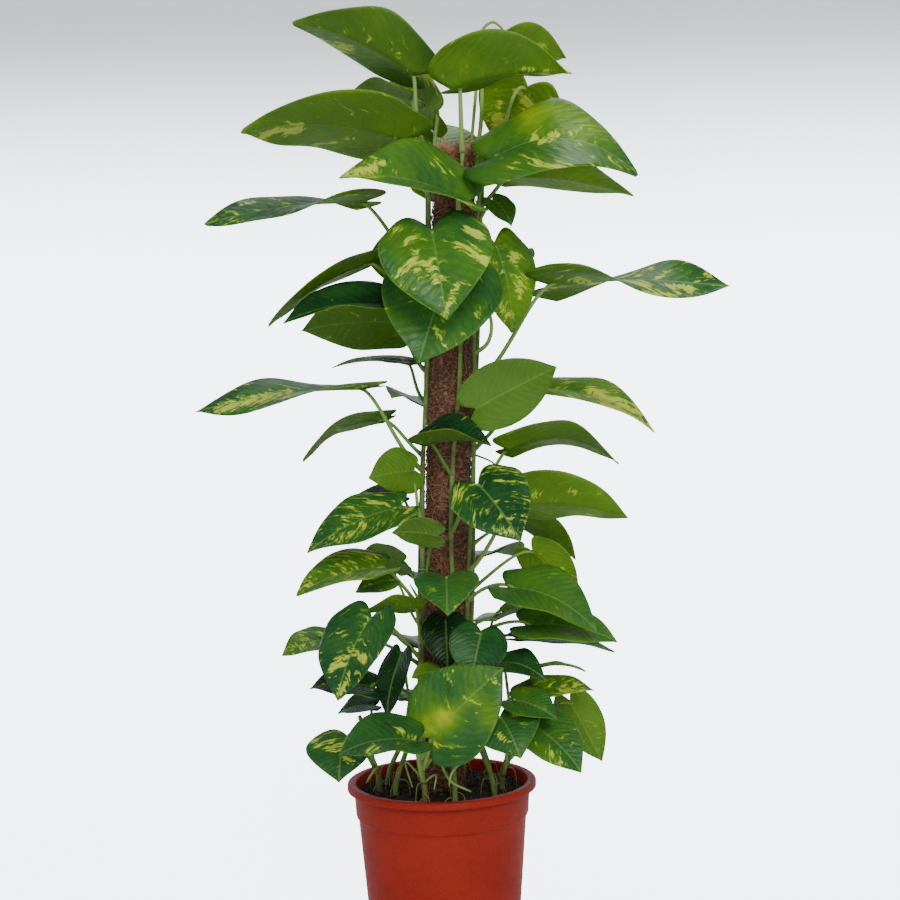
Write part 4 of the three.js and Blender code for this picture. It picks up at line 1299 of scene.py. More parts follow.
@dataclass(frozen=True)
class FibreFinish(Finish):
    """Coconut fibre and its matted sleeve, from dark red-brown to pale tan."""

    name: str = "coconut fibre"
    scale: float = 150.0
    spread: float = 0.4
    dark: tuple = (0.026, 0.010, 0.005)
    mid: tuple = (0.088, 0.034, 0.014)
    light: tuple = (0.56, 0.29, 0.17)

    def build(self) -> bpy.types.Material:
        """Make the material on Object coordinates."""
        material, sheet, surface, uneven = self.begin()
        place = sheet.object_place()
        drawn = sheet.node("ShaderNodeMapping", {"Vector": place, "Scale": (1.0, 1.0, 1.6)}).outputs[0]
        strands = sheet.noise(drawn, 240.0, 4.0, 0.65)
        colour = sheet.ramp(strands, ((0.28, self.dark), (0.5, self.mid), (0.78, self.light)))
        colour = sheet.blend(sheet.times(uneven.outputs["Broad"], 0.45), colour, paint(self.mid))
        frayed = sheet.step(sheet.split(place)[2], 0.798, 0.812)
        colour = sheet.blend(sheet.times(frayed, 0.7), colour, paint(self.light))
        sheet.feed(surface.inputs["Base Color"], colour)
        sheet.feed(surface.inputs["Roughness"], sheet.plus(0.72, sheet.times(strands, 0.2)))
        height = sheet.plus(strands, uneven.outputs["Height"])
        sheet.feed(surface.inputs["Normal"], sheet.relief(height, 0.9, 0.0016))
        return material


@dataclass(frozen=True)
class CompostFinish(Finish):
    """Damp compost, near black with brown crumbs and a few tan bits."""

    name: str = "damp compost"
    scale: float = 120.0
    spread: float = 0.4
    dark: tuple = (0.005, 0.003, 0.002)
    brown: tuple = (0.034, 0.019, 0.010)
    tan: tuple = (0.22, 0.15, 0.09)

    def build(self) -> bpy.types.Material:
        """Make the material on Object coordinates."""
        material, sheet, surface, uneven = self.begin()
        colour = sheet.blend(uneven.outputs["Broad"], paint(self.dark), paint(self.brown))
        bits = sheet.step(sheet.noise(sheet.object_place(), 420.0, 2.0), 0.66, 0.74)
        colour = sheet.blend(sheet.times(bits, 0.7), colour, paint(self.tan))
        sheet.feed(surface.inputs["Base Color"], colour)
        sheet.feed(surface.inputs["Roughness"], sheet.minus(0.98, sheet.times(bits, 0.2)))
        sheet.feed(surface.inputs["Normal"], sheet.relief(uneven.outputs["Height"], 0.9, 0.002))
        return material


@dataclass(frozen=True)
class PlasticFinish(Finish):
    """Moulded terracotta-red plastic with a satin face, faint flow marks and dust."""

    name: str = "terracotta-red plastic"
    scale: float = 16.0
    spread: float = 0.5
    colour: tuple = (0.240, 0.0165, 0.0090)
    faded: tuple = (0.290, 0.0205, 0.0110)
    dust: tuple = (0.36, 0.055, 0.025)

    def build(self) -> bpy.types.Material:
        """Make the material on Object coordinates."""
        material, sheet, surface, uneven = self.begin()
        colour = sheet.blend(uneven.outputs["Broad"], paint(self.colour), paint(self.faded))
        specks = sheet.step(sheet.noise(sheet.object_place(), 620.0, 2.0), 0.56, 0.7)
        colour = sheet.blend(sheet.times(specks, 0.35), colour, paint(self.dust))
        sheet.feed(surface.inputs["Base Color"], colour)
        rough = sheet.plus(0.40, sheet.times(uneven.outputs["Fine"], 0.12))
        sheet.feed(surface.inputs["Roughness"], sheet.plus(rough, sheet.times(specks, 0.1)))
        surface.inputs["Specular IOR Level"].default_value = 0.08
        fine = sheet.noise(sheet.object_place(), 1400.0, 2.0)
        sheet.feed(surface.inputs["Normal"], sheet.relief(fine, 0.12, 0.0003))
        return material


@dataclass(frozen=True)
class TimberFinish(Finish):
    """A turned pine stake with its grain along it."""

    name: str = "pine stake"
    scale: float = 40.0
    pale: tuple = (0.52, 0.34, 0.17)
    grain: tuple = (0.28, 0.15, 0.06)

    def build(self) -> bpy.types.Material:
        """Make the material on Object coordinates, drawn out along the stake."""
        material, sheet, surface, uneven = self.begin()
        drawn = sheet.node("ShaderNodeMapping", {"Vector": sheet.object_place(), "Scale": (1.0, 1.0, 0.05)})
        grain = sheet.noise(drawn.outputs[0], 700.0, 4.0, 0.6)
        colour = sheet.blend(sheet.step(grain, 0.35, 0.7), paint(self.pale), paint(self.grain))
        colour = sheet.blend(sheet.times(uneven.outputs["Broad"], 0.25), colour, paint(self.grain))
        sheet.feed(surface.inputs["Base Color"], colour)
        sheet.feed(surface.inputs["Roughness"], sheet.plus(0.6, sheet.times(grain, 0.2)))
        sheet.feed(surface.inputs["Normal"], sheet.relief(grain, 0.3, 0.0006))
        return material


@dataclass(frozen=True)
class WireFinish(Finish):
    """Galvanised wire with dull patches."""

    name: str = "galvanised wire"
    scale: float = 260.0
    bright: tuple = (0.56, 0.57, 0.58)
    dull: tuple = (0.30, 0.30, 0.30)

    def build(self) -> bpy.types.Material:
        """Make the material on Object coordinates."""
        material, sheet, surface, uneven = self.begin()
        colour = sheet.blend(uneven.outputs["Broad"], paint(self.bright), paint(self.dull))
        sheet.feed(surface.inputs["Base Color"], colour)
        surface.inputs["Metallic"].default_value = 1.0
        rough = sheet.plus(0.28, sheet.times(uneven.outputs["Fine"], 0.25))
        sheet.feed(surface.inputs["Roughness"], rough)
        sheet.feed(surface.inputs["Normal"], sheet.relief(uneven.outputs["Height"], 0.2, 0.0002))
        return material


@dataclass(frozen=True)
class PerliteFinish(Finish):
    """Pale grains of perlite, dirtied by the compost."""

    name: str = "perlite"
    scale: float = 500.0
    clean: tuple = (0.72, 0.69, 0.62)
    dirty: tuple = (0.30, 0.24, 0.18)

    def build(self) -> bpy.types.Material:
        """Make the material on Object coordinates."""
        material, sheet, surface, uneven = self.begin()
        colour = sheet.blend(uneven.outputs["Broad"], paint(self.clean), paint(self.dirty))
        sheet.feed(surface.inputs["Base Color"], colour)
        rough = sheet.plus(0.8, sheet.times(uneven.outputs["Fine"], 0.15))
        sheet.feed(surface.inputs["Roughness"], rough)
        sheet.feed(surface.inputs["Normal"], sheet.relief(uneven.outputs["Height"], 0.6, 0.0008))
        return material


def mesh_object(name: str, points: np.ndarray, faces: Sequence,
                materials: Sequence = ()) -> bpy.types.Object:
    """A smooth mesh object from points in mm.

    Args:
        name: Its name.
        points: Points in mm, one a row.
        faces: Faces as point numbers.
        materials: Its materials.

    Returns:
        The object, linked to the scene.
    """
    mesh = bpy.data.meshes.new(name)
    corners = [tuple(int(i) for i in face) for face in faces]
    mesh.from_pydata((np.asarray(points) * MM).tolist(), [], corners)
    for material in materials:
        mesh.materials.append(material)
    mesh.polygons.foreach_set("use_smooth", np.ones(len(mesh.polygons), dtype=bool))
    mesh.update()
    return linked(name, mesh)


def frozen_copy(source: bpy.types.Object, name: str) -> bpy.types.Object:
    """A plain mesh object of what a modified object shows; the source is removed.

    Args:
        source: The object with its modifiers.
        name: Name of the new object.

    Returns:
        The new object, linked to the scene, at the origin.
    """
    bpy.context.view_layer.update()
    shown = source.evaluated_get(bpy.context.evaluated_depsgraph_get())
    mesh = bpy.data.meshes.new_from_object(shown)
    bpy.data.objects.remove(source)
    return linked(name, mesh)


def joined(pieces: Sequence[bpy.types.Object], name: str) -> bpy.types.Object:
    """Join mesh objects into one piece that keeps their materials.

    Args:
        pieces: The objects; they are used up.
        name: Name of the piece.

    Returns:
        The joined object.
    """
    whole = bmesh.new()
    materials = []
    for piece in pieces:
        shift = len(materials)
        materials.extend(piece.data.materials)
        part = bmesh.new()
        part.from_mesh(piece.data)
        for face in part.faces:
            face.material_index += shift
        bare = bpy.data.meshes.new("part")
        part.to_mesh(bare)
        part.free()
        whole.from_mesh(bare)
        bpy.data.meshes.remove(bare)
        bpy.data.objects.remove(piece)
    mesh = bpy.data.meshes.new(name)
    whole.to_mesh(mesh)
    whole.free()
    for material in materials:
        mesh.materials.append(material)
    return linked(name, mesh)


def level_ring(angles: np.ndarray, radius: np.ndarray | float, z: float,
               middle: Sequence[float] = (0.0, 0.0)) -> np.ndarray:
    """Points round a middle at a height, in mm.

    Args:
        angles: Their angles, in radians.
        radius: One radius, or one for each angle.
        z: Their height.
        middle: The x and y that they go round.

    Returns:
        The points, one a row.
    """
    return np.stack([middle[0] + radius * np.cos(angles), middle[1] + radius * np.sin(angles),
                     np.full_like(angles, z)], axis=1)


def lids(rings: int, sides: int) -> list:
    """The two end faces of a stack of rings, the lowest first."""
    last = (rings - 1) * sides
    return [tuple(range(sides))[::-1], tuple(last + k for k in range(sides))]


def hand_over(piece: bpy.types.Object, node: str) -> bpy.types.Object:
    """Let a finished piece stand for its solid, on the object's one body.

    Args:
        piece: The finished piece.
        node: The solid that it replaces.

    Returns:
        The same piece.
    """
    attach(piece, "root")
    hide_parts(node)
    return piece


class Lay(Enum):
    """How a scattered bit lies on what it is scattered over."""

    FLAT = 0.0
    STANDING = 1.0


@dataclass(frozen=True)
class Scatter:
    """A Geometry Nodes tree that strews small bits over a surface."""

    title: str
    density: float
    size_low: float
    size_high: float
    lay: Lay = Lay.FLAT
    lean: float = 0.15
    swing: float = math.pi
    seed: int = 1

    def tree(self) -> bpy.types.NodeTree:
        """Build the tree, with named inputs for the sizes, the seed, the bit and its finish."""
        tree = bpy.data.node_groups.new(self.title, "GeometryNodeTree")
        face = tree.interface
        face.new_socket("Geometry", in_out="INPUT", socket_type="NodeSocketGeometry")
        for name in ("Density", "Size Low", "Size High", "Lean", "Swing", "Standing"):
            face.new_socket(name, in_out="INPUT", socket_type="NodeSocketFloat")
        face.new_socket("Seed", in_out="INPUT", socket_type="NodeSocketInt")
        face.new_socket("Bit", in_out="INPUT", socket_type="NodeSocketObject")
        face.new_socket("Finish", in_out="INPUT", socket_type="NodeSocketMaterial")
        face.new_socket("Geometry", in_out="OUTPUT", socket_type="NodeSocketGeometry")
        sheet = NodeSheet(tree)
        entry = sheet.node("NodeGroupInput").outputs
        strewn = sheet.node("GeometryNodeDistributePointsOnFaces",
                            {"Mesh": entry["Geometry"], "Density": entry["Density"], "Seed": entry["Seed"]})
        faced = sheet.node("FunctionNodeAlignRotationToVector", {"Vector": strewn.outputs["Normal"]},
                           axis="Z")
        level = sheet.node("FunctionNodeAlignRotationToVector",
                           {"Rotation": faced.outputs[0], "Vector": tuple(UP)}, axis="Y", pivot_axis="Z")
        low = sheet.times(entry["Swing"], -1.0)
        spin = self.draw(sheet, entry["Seed"], 11, low, entry["Swing"])
        tip_low = sheet.times(entry["Lean"], -1.0)
        pitch = self.draw(sheet, entry["Seed"], 23, tip_low, entry["Lean"])
        upright = sheet.times(entry["Standing"], -0.5 * math.pi)
        turn = sheet.triple(pitch, sheet.plus(upright, pitch), spin)
        local = sheet.node("FunctionNodeRotateRotation", {"Rotation": level.outputs[0], "Rotate By": turn},
                           rotation_space="LOCAL")
        size = self.draw(sheet, entry["Seed"], 37, entry["Size Low"], entry["Size High"])
        bits = sheet.node("GeometryNodeObjectInfo", {"Object": entry["Bit"]}, transform_space="ORIGINAL")
        placed = sheet.node("GeometryNodeInstanceOnPoints", {"Points": strewn.outputs["Points"],
                                                             "Instance": bits.outputs["Geometry"],
                                                             "Rotation": local.outputs[0], "Scale": size})
        real = sheet.node("GeometryNodeRealizeInstances", {"Geometry": placed.outputs[0]})
        dressed = sheet.node("GeometryNodeSetMaterial",
                             {"Geometry": real.outputs[0], "Material": entry["Finish"]})
        sheet.node("NodeGroupOutput", {"Geometry": dressed.outputs[0]})
        return tree

    @staticmethod
    def draw(sheet: NodeSheet, seed: object, shift: int, low: object,
             high: object) -> bpy.types.NodeSocket:
        """A random value for each point, between low and high."""
        made = sheet.node("FunctionNodeRandomValue", data_type="FLOAT")
        sheet.feed(made.inputs[2], low)
        sheet.feed(made.inputs[3], high)
        sheet.feed(made.inputs["Seed"], sheet.plus(seed, float(shift)))
        return made.outputs[1]

    def strew(self, ground: bpy.types.Object, bit: bpy.types.Object, material: bpy.types.Material,
              name: str) -> bpy.types.Object:
        """Strew the bits over a ground and keep only them, as a plain mesh.

        Args:
            ground: The object whose faces they lie on; it is used up.
            bit: The object to repeat.
            material: Their finish.
            name: Name of the result.

        Returns:
            The mesh object of all the bits.
        """
        tree = self.tree()
        values = {"Density": self.density, "Size Low": self.size_low, "Size High": self.size_high,
                  "Lean": self.lean, "Swing": self.swing, "Standing": self.lay.value, "Seed": self.seed,
                  "Bit": bit, "Finish": material}
        modifier = ground.modifiers.new(self.title, "NODES")
        modifier.node_group = tree
        for item in tree.interface.items_tree:
            if item.in_out == "INPUT" and item.name in values:
                modifier[item.identifier] = values[item.name]
        return frozen_copy(ground, name)


@dataclass
class NurseryPot:
    """The round pot: a tapered wall, a stepped collar and a rolled lip, with drain holes."""

    height: float = 174.0
    foot_radius: float = 72.5
    step_radius: float = 84.5
    step_height: float = 140.0
    collar_radius: float = 88.5
    rim_radius: float = 95.0
    lip_depth: float = 7.0
    wall: float = 2.0
    drain_radius: float = 6.0
    drain_circle: float = 49.3
    drains: int = 8
    drain_sides: int = 32
    sides: int = 144
    sharp_deg: float = 50.0

    def profile(self) -> np.ndarray:
        """Corners of the wall's section as radius and height, from the foot outwards, up and in."""
        top, lip = self.height, self.height - self.lip_depth
        foot, step, at_step = self.foot_radius, self.step_radius, self.step_height
        collar, rim, inner = self.collar_radius, self.rim_radius, self.collar_radius - self.wall
        return np.array([
            (0.4, 0), (foot - 4, 0), (foot - 1.2, 0.25), (foot - 0.2, 1.2), (foot + 0.1, 3),
            (step - 0.3, at_step - 3), (step, at_step - 0.3), (step + 0.9, at_step + 0.5),
            (step + 1.8, at_step + 1.2), (step + 2.2, at_step + 2.6),
            (collar - 0.1, lip - 1), (collar, lip), (collar, lip + 4.6), (collar + 0.5, lip + 5),
            (rim - 2.8, lip + 5), (rim - 2.4, lip + 4.6), (rim - 2.4, lip + 0.5), (rim - 1.9, lip + 0.05),
            (rim - 0.6, lip + 0.05), (rim - 0.05, lip + 0.6), (rim, lip + 2), (rim, top - 2.2),
            (rim - 0.4, top - 0.9), (rim - 1.5, top - 0.1), (rim - 3, top),
            (inner + 1.6, top), (inner + 0.4, top - 0.4), (inner, top - 1.4), (inner, lip),
            (step + 2 - self.wall, at_step + 2), (step - self.wall, at_step + 0.5),
            (foot - self.wall, self.wall + 1), (0.4, self.wall + 0.5),
        ])

    def build(self, finish: bpy.types.Material) -> bpy.types.Object:
        """Turn the wall, cut the drain holes and dress the pot."""
        section = self.profile()
        angles = circle(self.sides)
        rings = [level_ring(angles, radius, z) for radius, z in section]
        faces = ring_faces(len(rings), self.sides) + lids(len(rings), self.sides)
        body = mesh_object("pot wall", np.vstack(rings), faces, [finish])
        drill = self.drill()
        cut = body.modifiers.new("drain holes", "BOOLEAN")
        cut.object = drill
        cut.solver = "EXACT"
        piece = frozen_copy(body, "nursery_pot")
        bpy.data.objects.remove(drill)
        edges = bmesh.new()
        edges.from_mesh(piece.data)
        for edge in edges.edges:
            bend = edge.calc_face_angle(0.0)
            edge.smooth = len(edge.link_faces) == 2 and bend < math.radians(self.sharp_deg)
        edges.to_mesh(piece.data)
        edges.free()
        return hand_over(piece, "pot")

    def drill(self) -> bpy.types.Object:
        """The upright rods that cut the drain holes."""
        points, faces = [], []
        angles = circle(self.drain_sides)
        for i, turn in enumerate(circle(self.drains)):
            middle = self.drain_circle * math.cos(turn), self.drain_circle * math.sin(turn)
            points += [level_ring(angles, self.drain_radius, z, middle) for z in (-10.0, 10.0)]
            rod = ring_faces(2, self.drain_sides) + lids(2, self.drain_sides)
            faces += [tuple(2 * i * self.drain_sides + k for k in face) for face in rod]
        return mesh_object("drill", np.vstack(points), faces)


@dataclass
class CompostFill:
    """The compost: a rough top that rises to the pole, strewn with crumbs and perlite."""

    height: float = SOIL_HEIGHT
    sides: int = 160
    top_rings: int = 44
    outer: float = 85.0
    side_wall: tuple = ((0.3, 3.0), (69.8, 3.5), (82.0, 140.5), (83.8, 143.0))
    rise: float = 4.2
    fall: float = 3.6
    strewn_sides: int = 48
    strewn_shares: tuple = (0.965, 0.06)
    strewn_rings: int = 16
    crumbs: Scatter = Scatter("compost crumbs", density=130000.0, size_low=0.5, size_high=1.5, lean=1.2,
                              seed=4)
    perlite: Scatter = Scatter("perlite grains", density=2200.0, size_low=0.5, size_high=1.0, lean=1.2,
                               seed=9)

    def top_height(self, x: np.ndarray, y: np.ndarray) -> np.ndarray:
        """Height of the rough top at places, in mm."""
        away = np.hypot(x, y)
        mound = self.height + self.rise - self.fall * np.clip(away / self.outer, 0, 1)
        clods = (1.3 * np.sin(0.16 * x + 1.7) * np.cos(0.19 * y - 0.6) + 0.8 * np.sin(0.37 * x - 0.31 * y)
                 + 0.55 * np.sin(0.83 * x + 0.4 * y + 2.0) * np.cos(0.71 * y - 0.3 * x)
                 + 0.35 * np.sin(1.9 * x + 0.7) * np.sin(1.7 * y + 1.1))
        return mound + clods * np.clip((self.outer - away) / 6, 0, 1)

    def top_ring(self, angles: np.ndarray, share: float, above: float = 0.0) -> np.ndarray:
        """Points of the rough top round its middle, at a share of its radius, in mm."""
        ring = level_ring(angles, self.outer * share, above)
        ring[:, 2] += self.top_height(ring[:, 0], ring[:, 1])
        return ring

    def build(self, finish: bpy.types.Material, pale: bpy.types.Material) -> bpy.types.Object:
        """Make the fill, strew it and dress it."""
        angles = circle(self.sides)
        wall = [*self.side_wall, (self.outer, self.height - 1.0)]
        rows = [level_ring(angles, radius, z) for radius, z in wall]
        rows += [self.top_ring(angles, share) for share in np.linspace(1, 0.004, self.top_rings)]
        faces = ring_faces(len(rows), self.sides) + lids(len(rows), self.sides)
        body = mesh_object("compost body", np.vstack(rows), faces, [finish])
        bit = self.crumb()
        strewn = self.crumbs.strew(self.ground(), bit, finish, "crumbs")
        grains = self.perlite.strew(self.ground(), bit, pale, "grains")
        bpy.data.objects.remove(bit)
        return hand_over(joined([body, strewn, grains], "compost_fill"), "soil")

    def ground(self) -> bpy.types.Object:
        """The part of the top that is strewn."""
        angles = circle(self.strewn_sides)
        shares = np.linspace(*self.strewn_shares, self.strewn_rings)
        rows = [self.top_ring(angles, share, 0.2) for share in shares]
        return mesh_object("strewn ground", np.vstack(rows), ring_faces(len(rows), self.strewn_sides))

    @staticmethod
    def crumb() -> bpy.types.Object:
        """A small lump of compost, a little flat."""
        draft = bmesh.new()
        bmesh.ops.create_icosphere(draft, subdivisions=1, radius=1.0 * MM)
        for i, vert in enumerate(draft.verts):
            vert.co *= 1 + 0.28 * math.sin(5.3 * i + 0.7)
            vert.co.z *= 0.7
        mesh = bpy.data.meshes.new("crumb")
        draft.to_mesh(mesh)
        draft.free()
        return linked("crumb", mesh)


@dataclass(frozen=True)
class Strand:
    """A curly fibre of the sleeve: its length, radius and sag in mm, and how it is strewn."""

    length: float
    radius: float
    sag: float
    strewn: Scatter
    thickness: tuple = (0.45, 0.9, 1.0, 1.0, 0.95, 0.8, 0.3)

    def build(self) -> bpy.types.Object:
        """Make one fibre along X, thinner at its ends."""
        s = np.linspace(-0.5, 0.5, len(self.thickness))
        curl, dip = self.sag * np.sin(5.2 * s + 0.4), 0.45 * self.sag * np.cos(4.1 * s) - 0.2
        radii = np.array(self.thickness) * self.radius
        points, faces = tube(np.stack([self.length * s, curl, dip], axis=1), radii, 3)
        return mesh_object("strand", points, faces)


@dataclass
class CoirSleeve:
    """The coir sleeve of the pole: a matted body, strands wound over it and a frayed top.

    A lump or a mat wave is its height in mm, how fast it turns round the pole and up it, and
    where it starts. The crown draws in over the top tenths of the pole, to shares of its radius.
    """

    radius: float = COIR_RADIUS
    bottom: float = COIR_BOTTOM
    top: float = COIR_TOP
    bore: float = 10.4
    sides: int = 72
    rings: int = 200
    strewn_sides: int = 36
    strewn_rings: int = 60
    strewn_lift: float = 0.35
    crown_radii: tuple = (18.0, 15.0, 11.0)
    crown_tenths: tuple = (0, 8, 9, 10)
    crown_shares: tuple = (1, 1, 0.93, 0.8)
    mat_depth: float = 0.9
    mat_share: float = 0.8
    lumps: tuple = ((0.45, 3, 1.3, 0.0), (0.3, -2, 2.1, 0.0))
    mats: tuple = ((0.5, 7, 0.9, 0.0), (0.45, 11, -0.61, 1.0), (0.3, 17, 1.37, 0.0),
                   (0.25, 23, -1.9, 0.0))
    wound: Strand = Strand(17.0, 0.36, 3.8, Scatter("wound strands", density=8000.0, size_low=0.6,
                                                    size_high=1.5, lean=0.14, swing=1.5, seed=2))
    crossed: Strand = Strand(10.0, 0.30, 3.2, Scatter("crossed strands", density=13000.0, size_low=0.6,
                                                      size_high=1.5, lean=0.30, seed=6))
    frayed: Strand = Strand(13.0, 0.17, 4.5, Scatter("frayed top", density=420000.0, size_low=0.5,
                                                     size_high=1.7, lay=Lay.STANDING, lean=0.85, seed=3))

    def surface_radius(self, turn: np.ndarray, z: float) -> np.ndarray:
        """Radius of the matted body round the pole at a height, in mm."""
        tenth = (z - self.bottom) / (self.top - self.bottom) * 10
        shrink = np.interp(tenth, self.crown_tenths, self.crown_shares)
        lump = self.ripple(self.lumps, turn, tenth)
        mat = self.mat_share * self.ripple(self.mats, turn, z)
        return shrink * (self.radius + lump - self.mat_depth + mat)

    @staticmethod
    def ripple(waves: tuple, turn: np.ndarray, height: float) -> np.ndarray:
        """The sum of waves that run round the pole and up it, in mm."""
        return sum(size * np.sin(about * turn + up * height + start) for size, about, up, start in waves)

    def build(self, finish: bpy.types.Material, pale: bpy.types.Material) -> bpy.types.Object:
        """Make the body, wind and fray its paler strands and dress it."""
        angles = circle(self.sides)
        heights = np.linspace(self.bottom, self.top, self.rings)
        rows = [level_ring(angles, self.surface_radius(angles, z), z, pole_axis(z)) for z in heights]
        rows += [level_ring(angles, self.bore, z, pole_axis(z)) for z in (self.top, self.bottom)]
        faces = ring_faces(len(rows), self.sides, closed=True)
        pieces = [mesh_object("coir body", np.vstack(rows), faces, [finish])]
        for strand, ground in ((self.wound, self.wall_ground), (self.crossed, self.wall_ground),
                               (self.frayed, self.crown_ground)):
            fibre = strand.build()
            pieces.append(strand.strewn.strew(ground(), fibre, pale, strand.strewn.title))
            bpy.data.objects.remove(fibre)
        return hand_over(joined(pieces, "coir_sleeve"), "coir")

    def wall_ground(self) -> bpy.types.Object:
        """The outer wall above the compost, for the strands to lie on."""
        angles = circle(self.strewn_sides)
        heights = np.linspace(SOIL_HEIGHT, self.top - 2, self.strewn_rings)
        rows = [level_ring(angles, self.surface_radius(angles, z) + self.strewn_lift, z, pole_axis(z))
                for z in heights]
        return mesh_object("strand ground", np.vstack(rows), ring_faces(len(rows), self.strewn_sides))

    def crown_ground(self) -> bpy.types.Object:
        """The top end, where the strands fray."""
        angles = circle(self.strewn_sides)
        height = self.top - 0.5
        rows = [level_ring(angles, radius, height, pole_axis(height)) for radius in self.crown_radii]
        return mesh_object("crown ground", np.vstack(rows), ring_faces(len(rows), self.strewn_sides))


@dataclass
class WireStaple:
    """A bent wire that holds one stem to the pole."""

    vine: Vine
    height: float
    radius: float = PIN_WIRE_RADIUS
    shoulder: tuple = (0.72, 0.74)
    crest: float = 1.05
    sides: int = 10

    def build(self, number: int, finish: bpy.types.Material) -> bpy.types.Object:
        """Bend the wire over its stem and dress it."""
        stem = self.vine.stem_at(self.height)
        out = unit((stem - pole_axis(self.height)) * np.array([1.0, 1.0, 0.0]))
        side = np.cross(UP, out)
        half = STEM_RADIUS + CLEARANCE + self.radius + STAPLE_SLACK
        depth = -(STEM_RADIUS + STAPLE_DEPTH)
        bend = self.shoulder[0] * half, self.shoulder[1] * half
        leg = [(half, depth), (half, 0.5 * depth), (half, 0), bend]
        corners = [(-across, away) for across, away in leg] + [(0, self.crest * half)] + leg[::-1]
        line = smooth_path(np.array([stem + across * side + away * out for across, away in corners]), 6)
        points, faces = tube(line, np.full(len(line), self.radius), self.sides)
        piece = mesh_object(f"wire_staple_{number}", points, faces, [finish])
        return hand_over(piece, f"pin_{number}")


@dataclass(frozen=True)
class Lamp:
    """A soft square light: where it stands and aims in metres, its side, power and colour."""

    name: str
    place: tuple
    target: tuple
    size: float
    power: float
    colour: tuple

    def build(self) -> None:
        """Hang the light and turn it to its target."""
        data = bpy.data.lights.new(self.name, "AREA")
        data.size = self.size
        data.energy = self.power
        data.color = self.colour
        lamp = linked(self.name, data)
        lamp.location = self.place
        aim = Vector(self.target) - Vector(self.place)
        lamp.rotation_euler = aim.to_track_quat("-Z", "Y").to_euler()


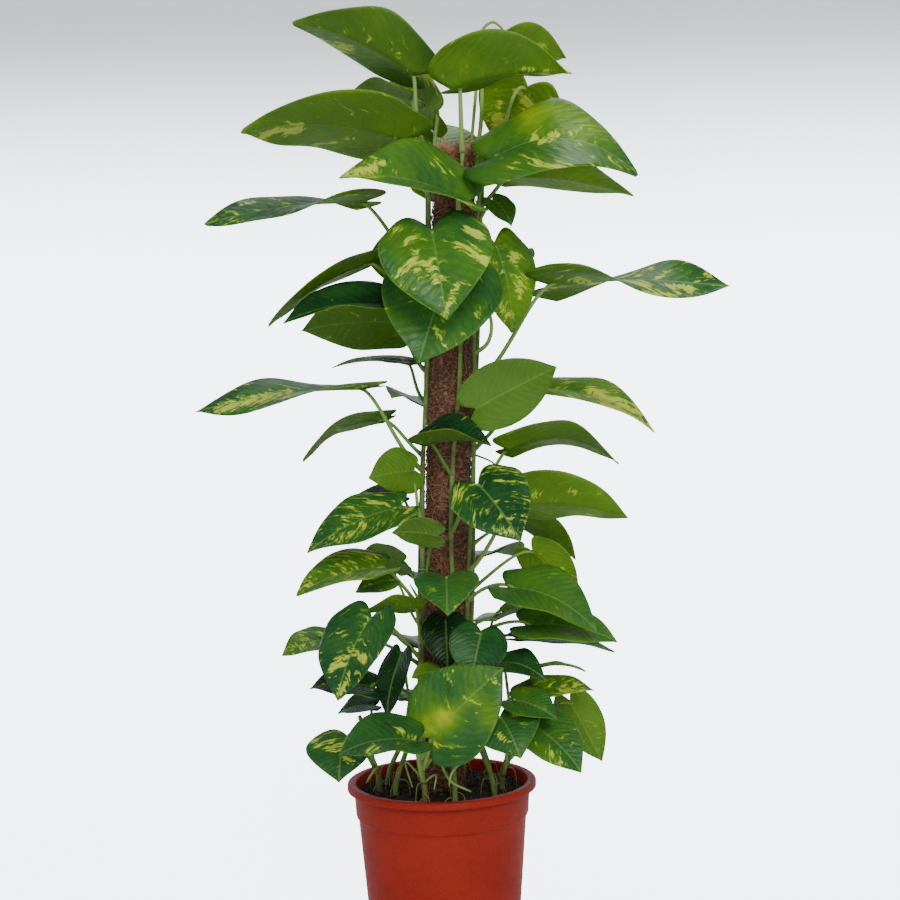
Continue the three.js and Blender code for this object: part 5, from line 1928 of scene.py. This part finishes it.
@dataclass
class Studio:
    """The pale floor that sweeps up into a backdrop, the soft lights and the camera.

    Lengths are in metres. The backdrop glows for the camera alone, so that it is as bright as in
    the photograph and still casts no veil over the leaves. The glow fades from dawn up to dusk.
    """

    half_width: float = 4.0
    front: float = -2.6
    back: float = 4.2
    bend: float = 1.6
    top: float = 4.6
    drop: float = 0.0006
    dawn: float = 1.15
    dusk: float = 2.35
    glow: float = 4.8
    colour: tuple = (0.86, 0.88, 0.90)
    glow_colours: tuple = ((0.86, 0.94, 1.0), (0.84, 0.93, 1.0))
    room_colour: tuple = (0.86, 0.92, 1.0)
    room_light: float = 0.38
    lamps: tuple = (
        Lamp("key light", (0.5, -2.3, 1.7), (0.0, 0.0, 0.45), 0.9, 44.0, (1.0, 0.98, 0.94)),
        Lamp("fill light", (-1.9, -1.3, 1.2), (0.0, 0.0, 0.45), 1.4, 9.0, (0.95, 0.98, 1.0)),
        Lamp("low light", (0.2, -1.9, 0.12), (0.0, 0.0, 0.62), 1.2, 13.0, (1.0, 1.0, 0.97)),
        Lamp("top light", (0.2, 0.5, 2.3), (0.0, 0.0, 0.6), 1.2, 17.0, (1.0, 1.0, 1.0)),
        Lamp("left backdrop light", (-2.4, 1.8, 1.2), (0.3, 4.2, 0.9), 1.2, 60.0, (0.95, 0.98, 1.0)),
        Lamp("right backdrop light", (2.4, 1.8, 1.2), (-0.3, 4.2, 0.9), 1.2, 60.0, (0.95, 0.98, 1.0)),
    )

    def build(self) -> None:
        """Set up everything that isn't part of the object."""
        self.sweep()
        for lamp in self.lamps:
            lamp.build()
        self.sky()
        self.camera()

    def sweep(self) -> None:
        """The floor and backdrop in one smooth sheet."""
        turns = np.linspace(0, 0.5 * math.pi, 24)
        foot = self.back - self.bend
        line = [(self.front, 0.0)]
        line += [(foot + self.bend * math.sin(a), self.bend - self.bend * math.cos(a)) for a in turns]
        line.append((self.back, self.top))
        points = [(x / MM, y / MM, (z - self.drop) / MM)
                  for y, z in line for x in (-self.half_width, self.half_width)]
        faces = [(2 * i, 2 * i + 1, 2 * i + 3, 2 * i + 2) for i in range(len(line) - 1)]
        mesh_object("paper_sweep", np.array(points), faces, [self.paper()])

    def paper(self) -> bpy.types.Material:
        """Matt pale paper, with the glow that only the camera sees."""
        material = bpy.data.materials.new("backdrop paper")
        material.use_nodes = True
        sheet = NodeSheet(material.node_tree)
        surface = material.node_tree.nodes["Principled BSDF"]
        place = sheet.object_place()
        grain = sheet.noise(place, 1.2, 2.0)
        shade = [0.93 * c for c in self.colour]
        sheet.feed(surface.inputs["Base Color"], sheet.blend(grain, paint(self.colour), paint(shade)))
        surface.inputs["Roughness"].default_value = 0.9
        bright, dim = self.glow_colours
        sheet.feed(surface.inputs["Emission Color"], sheet.blend(grain, paint(bright), paint(dim)))
        low = sheet.step(sheet.split(place)[2], self.dusk, self.dawn)
        shown = sheet.times(sheet.node("ShaderNodeLightPath").outputs["Is Camera Ray"], low)
        sheet.feed(surface.inputs["Emission Strength"], sheet.times(shown, self.glow))
        return material

    def sky(self) -> None:
        """Even pale light from all round."""
        world = bpy.data.worlds.new("soft room")
        world.use_nodes = True
        back = world.node_tree.nodes["Background"]
        back.inputs["Color"].default_value = paint(self.room_colour)
        back.inputs["Strength"].default_value = self.room_light
        bpy.context.scene.world = world

    @staticmethod
    def camera() -> None:
        """The camera, level and turned a little, at the photograph's place."""
        data = bpy.data.cameras.new("camera")
        data.lens = EYE_LENS_MM
        data.sensor_width = SENSOR_MM
        eye = linked("camera", data)
        upright = Matrix.Rotation(0.5 * math.pi, 4, "X")
        roll = Matrix.Rotation(-math.radians(EYE_ROLL_DEG), 4, "Z")
        eye.matrix_world = Matrix.Translation(Vector(EYE * MM)) @ upright @ roll
        bpy.context.scene.camera = eye


@dataclass
class PottedPothos:
    """The whole object, built piece by piece."""

    pot: NurseryPot = field(default_factory=NurseryPot)
    compost: CompostFill = field(default_factory=CompostFill)
    sleeve: CoirSleeve = field(default_factory=CoirSleeve)
    plans: tuple = VINES
    staples: tuple = STAPLES
    fibre: FibreFinish = FibreFinish()
    pale_fibre: FibreFinish = FibreFinish("pale coconut fibre", dark=(0.13, 0.055, 0.030),
                                          mid=(0.34, 0.148, 0.066), light=(0.60, 0.34, 0.17))

    def build(self) -> None:
        """Build and dress each piece and report it."""
        LOG.info("pot: %s", self.pot.build(PlasticFinish().build()).name)
        fill = self.compost.build(CompostFinish().build(), PerliteFinish().build())
        LOG.info("compost: %s", fill.name)
        sleeve = self.sleeve.build(self.fibre.build(), self.pale_fibre.build())
        LOG.info("pole sleeve: %s, %d faces", sleeve.name, len(sleeve.data.polygons))
        LOG.info("stake: %s", self.dress_stake().name)
        vines = [Vine(number, plan) for number, plan in enumerate(self.plans, 1)]
        finishes = (BladeFinish().build(), StalkFinish().build())
        for vine in vines:
            piece = vine.build(finishes)
            leaves, faces = len(vine.leaves), len(piece.data.polygons)
            LOG.info("vine: %s, %d leaves, %d faces", piece.name, leaves, faces)
        wire = WireFinish().build()
        for number, (vine, height) in enumerate(self.staples, 1):
            staple = WireStaple(vines[vine - 1], height).build(number, wire)
            LOG.info("staple: %s on vine %d", staple.name, vine)

    @staticmethod
    def dress_stake() -> bpy.types.Object:
        """Give the stake's own solid its timber."""
        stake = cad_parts["stake"]
        stake.data.materials.clear()
        stake.data.materials.append(TimberFinish().build())
        return stake


def main() -> None:
    """Build the object and its studio."""
    logging.basicConfig(level=logging.INFO, format="%(message)s")
    PottedPothos().build()
    Studio().build()


if __name__ == "__main__":
    main()
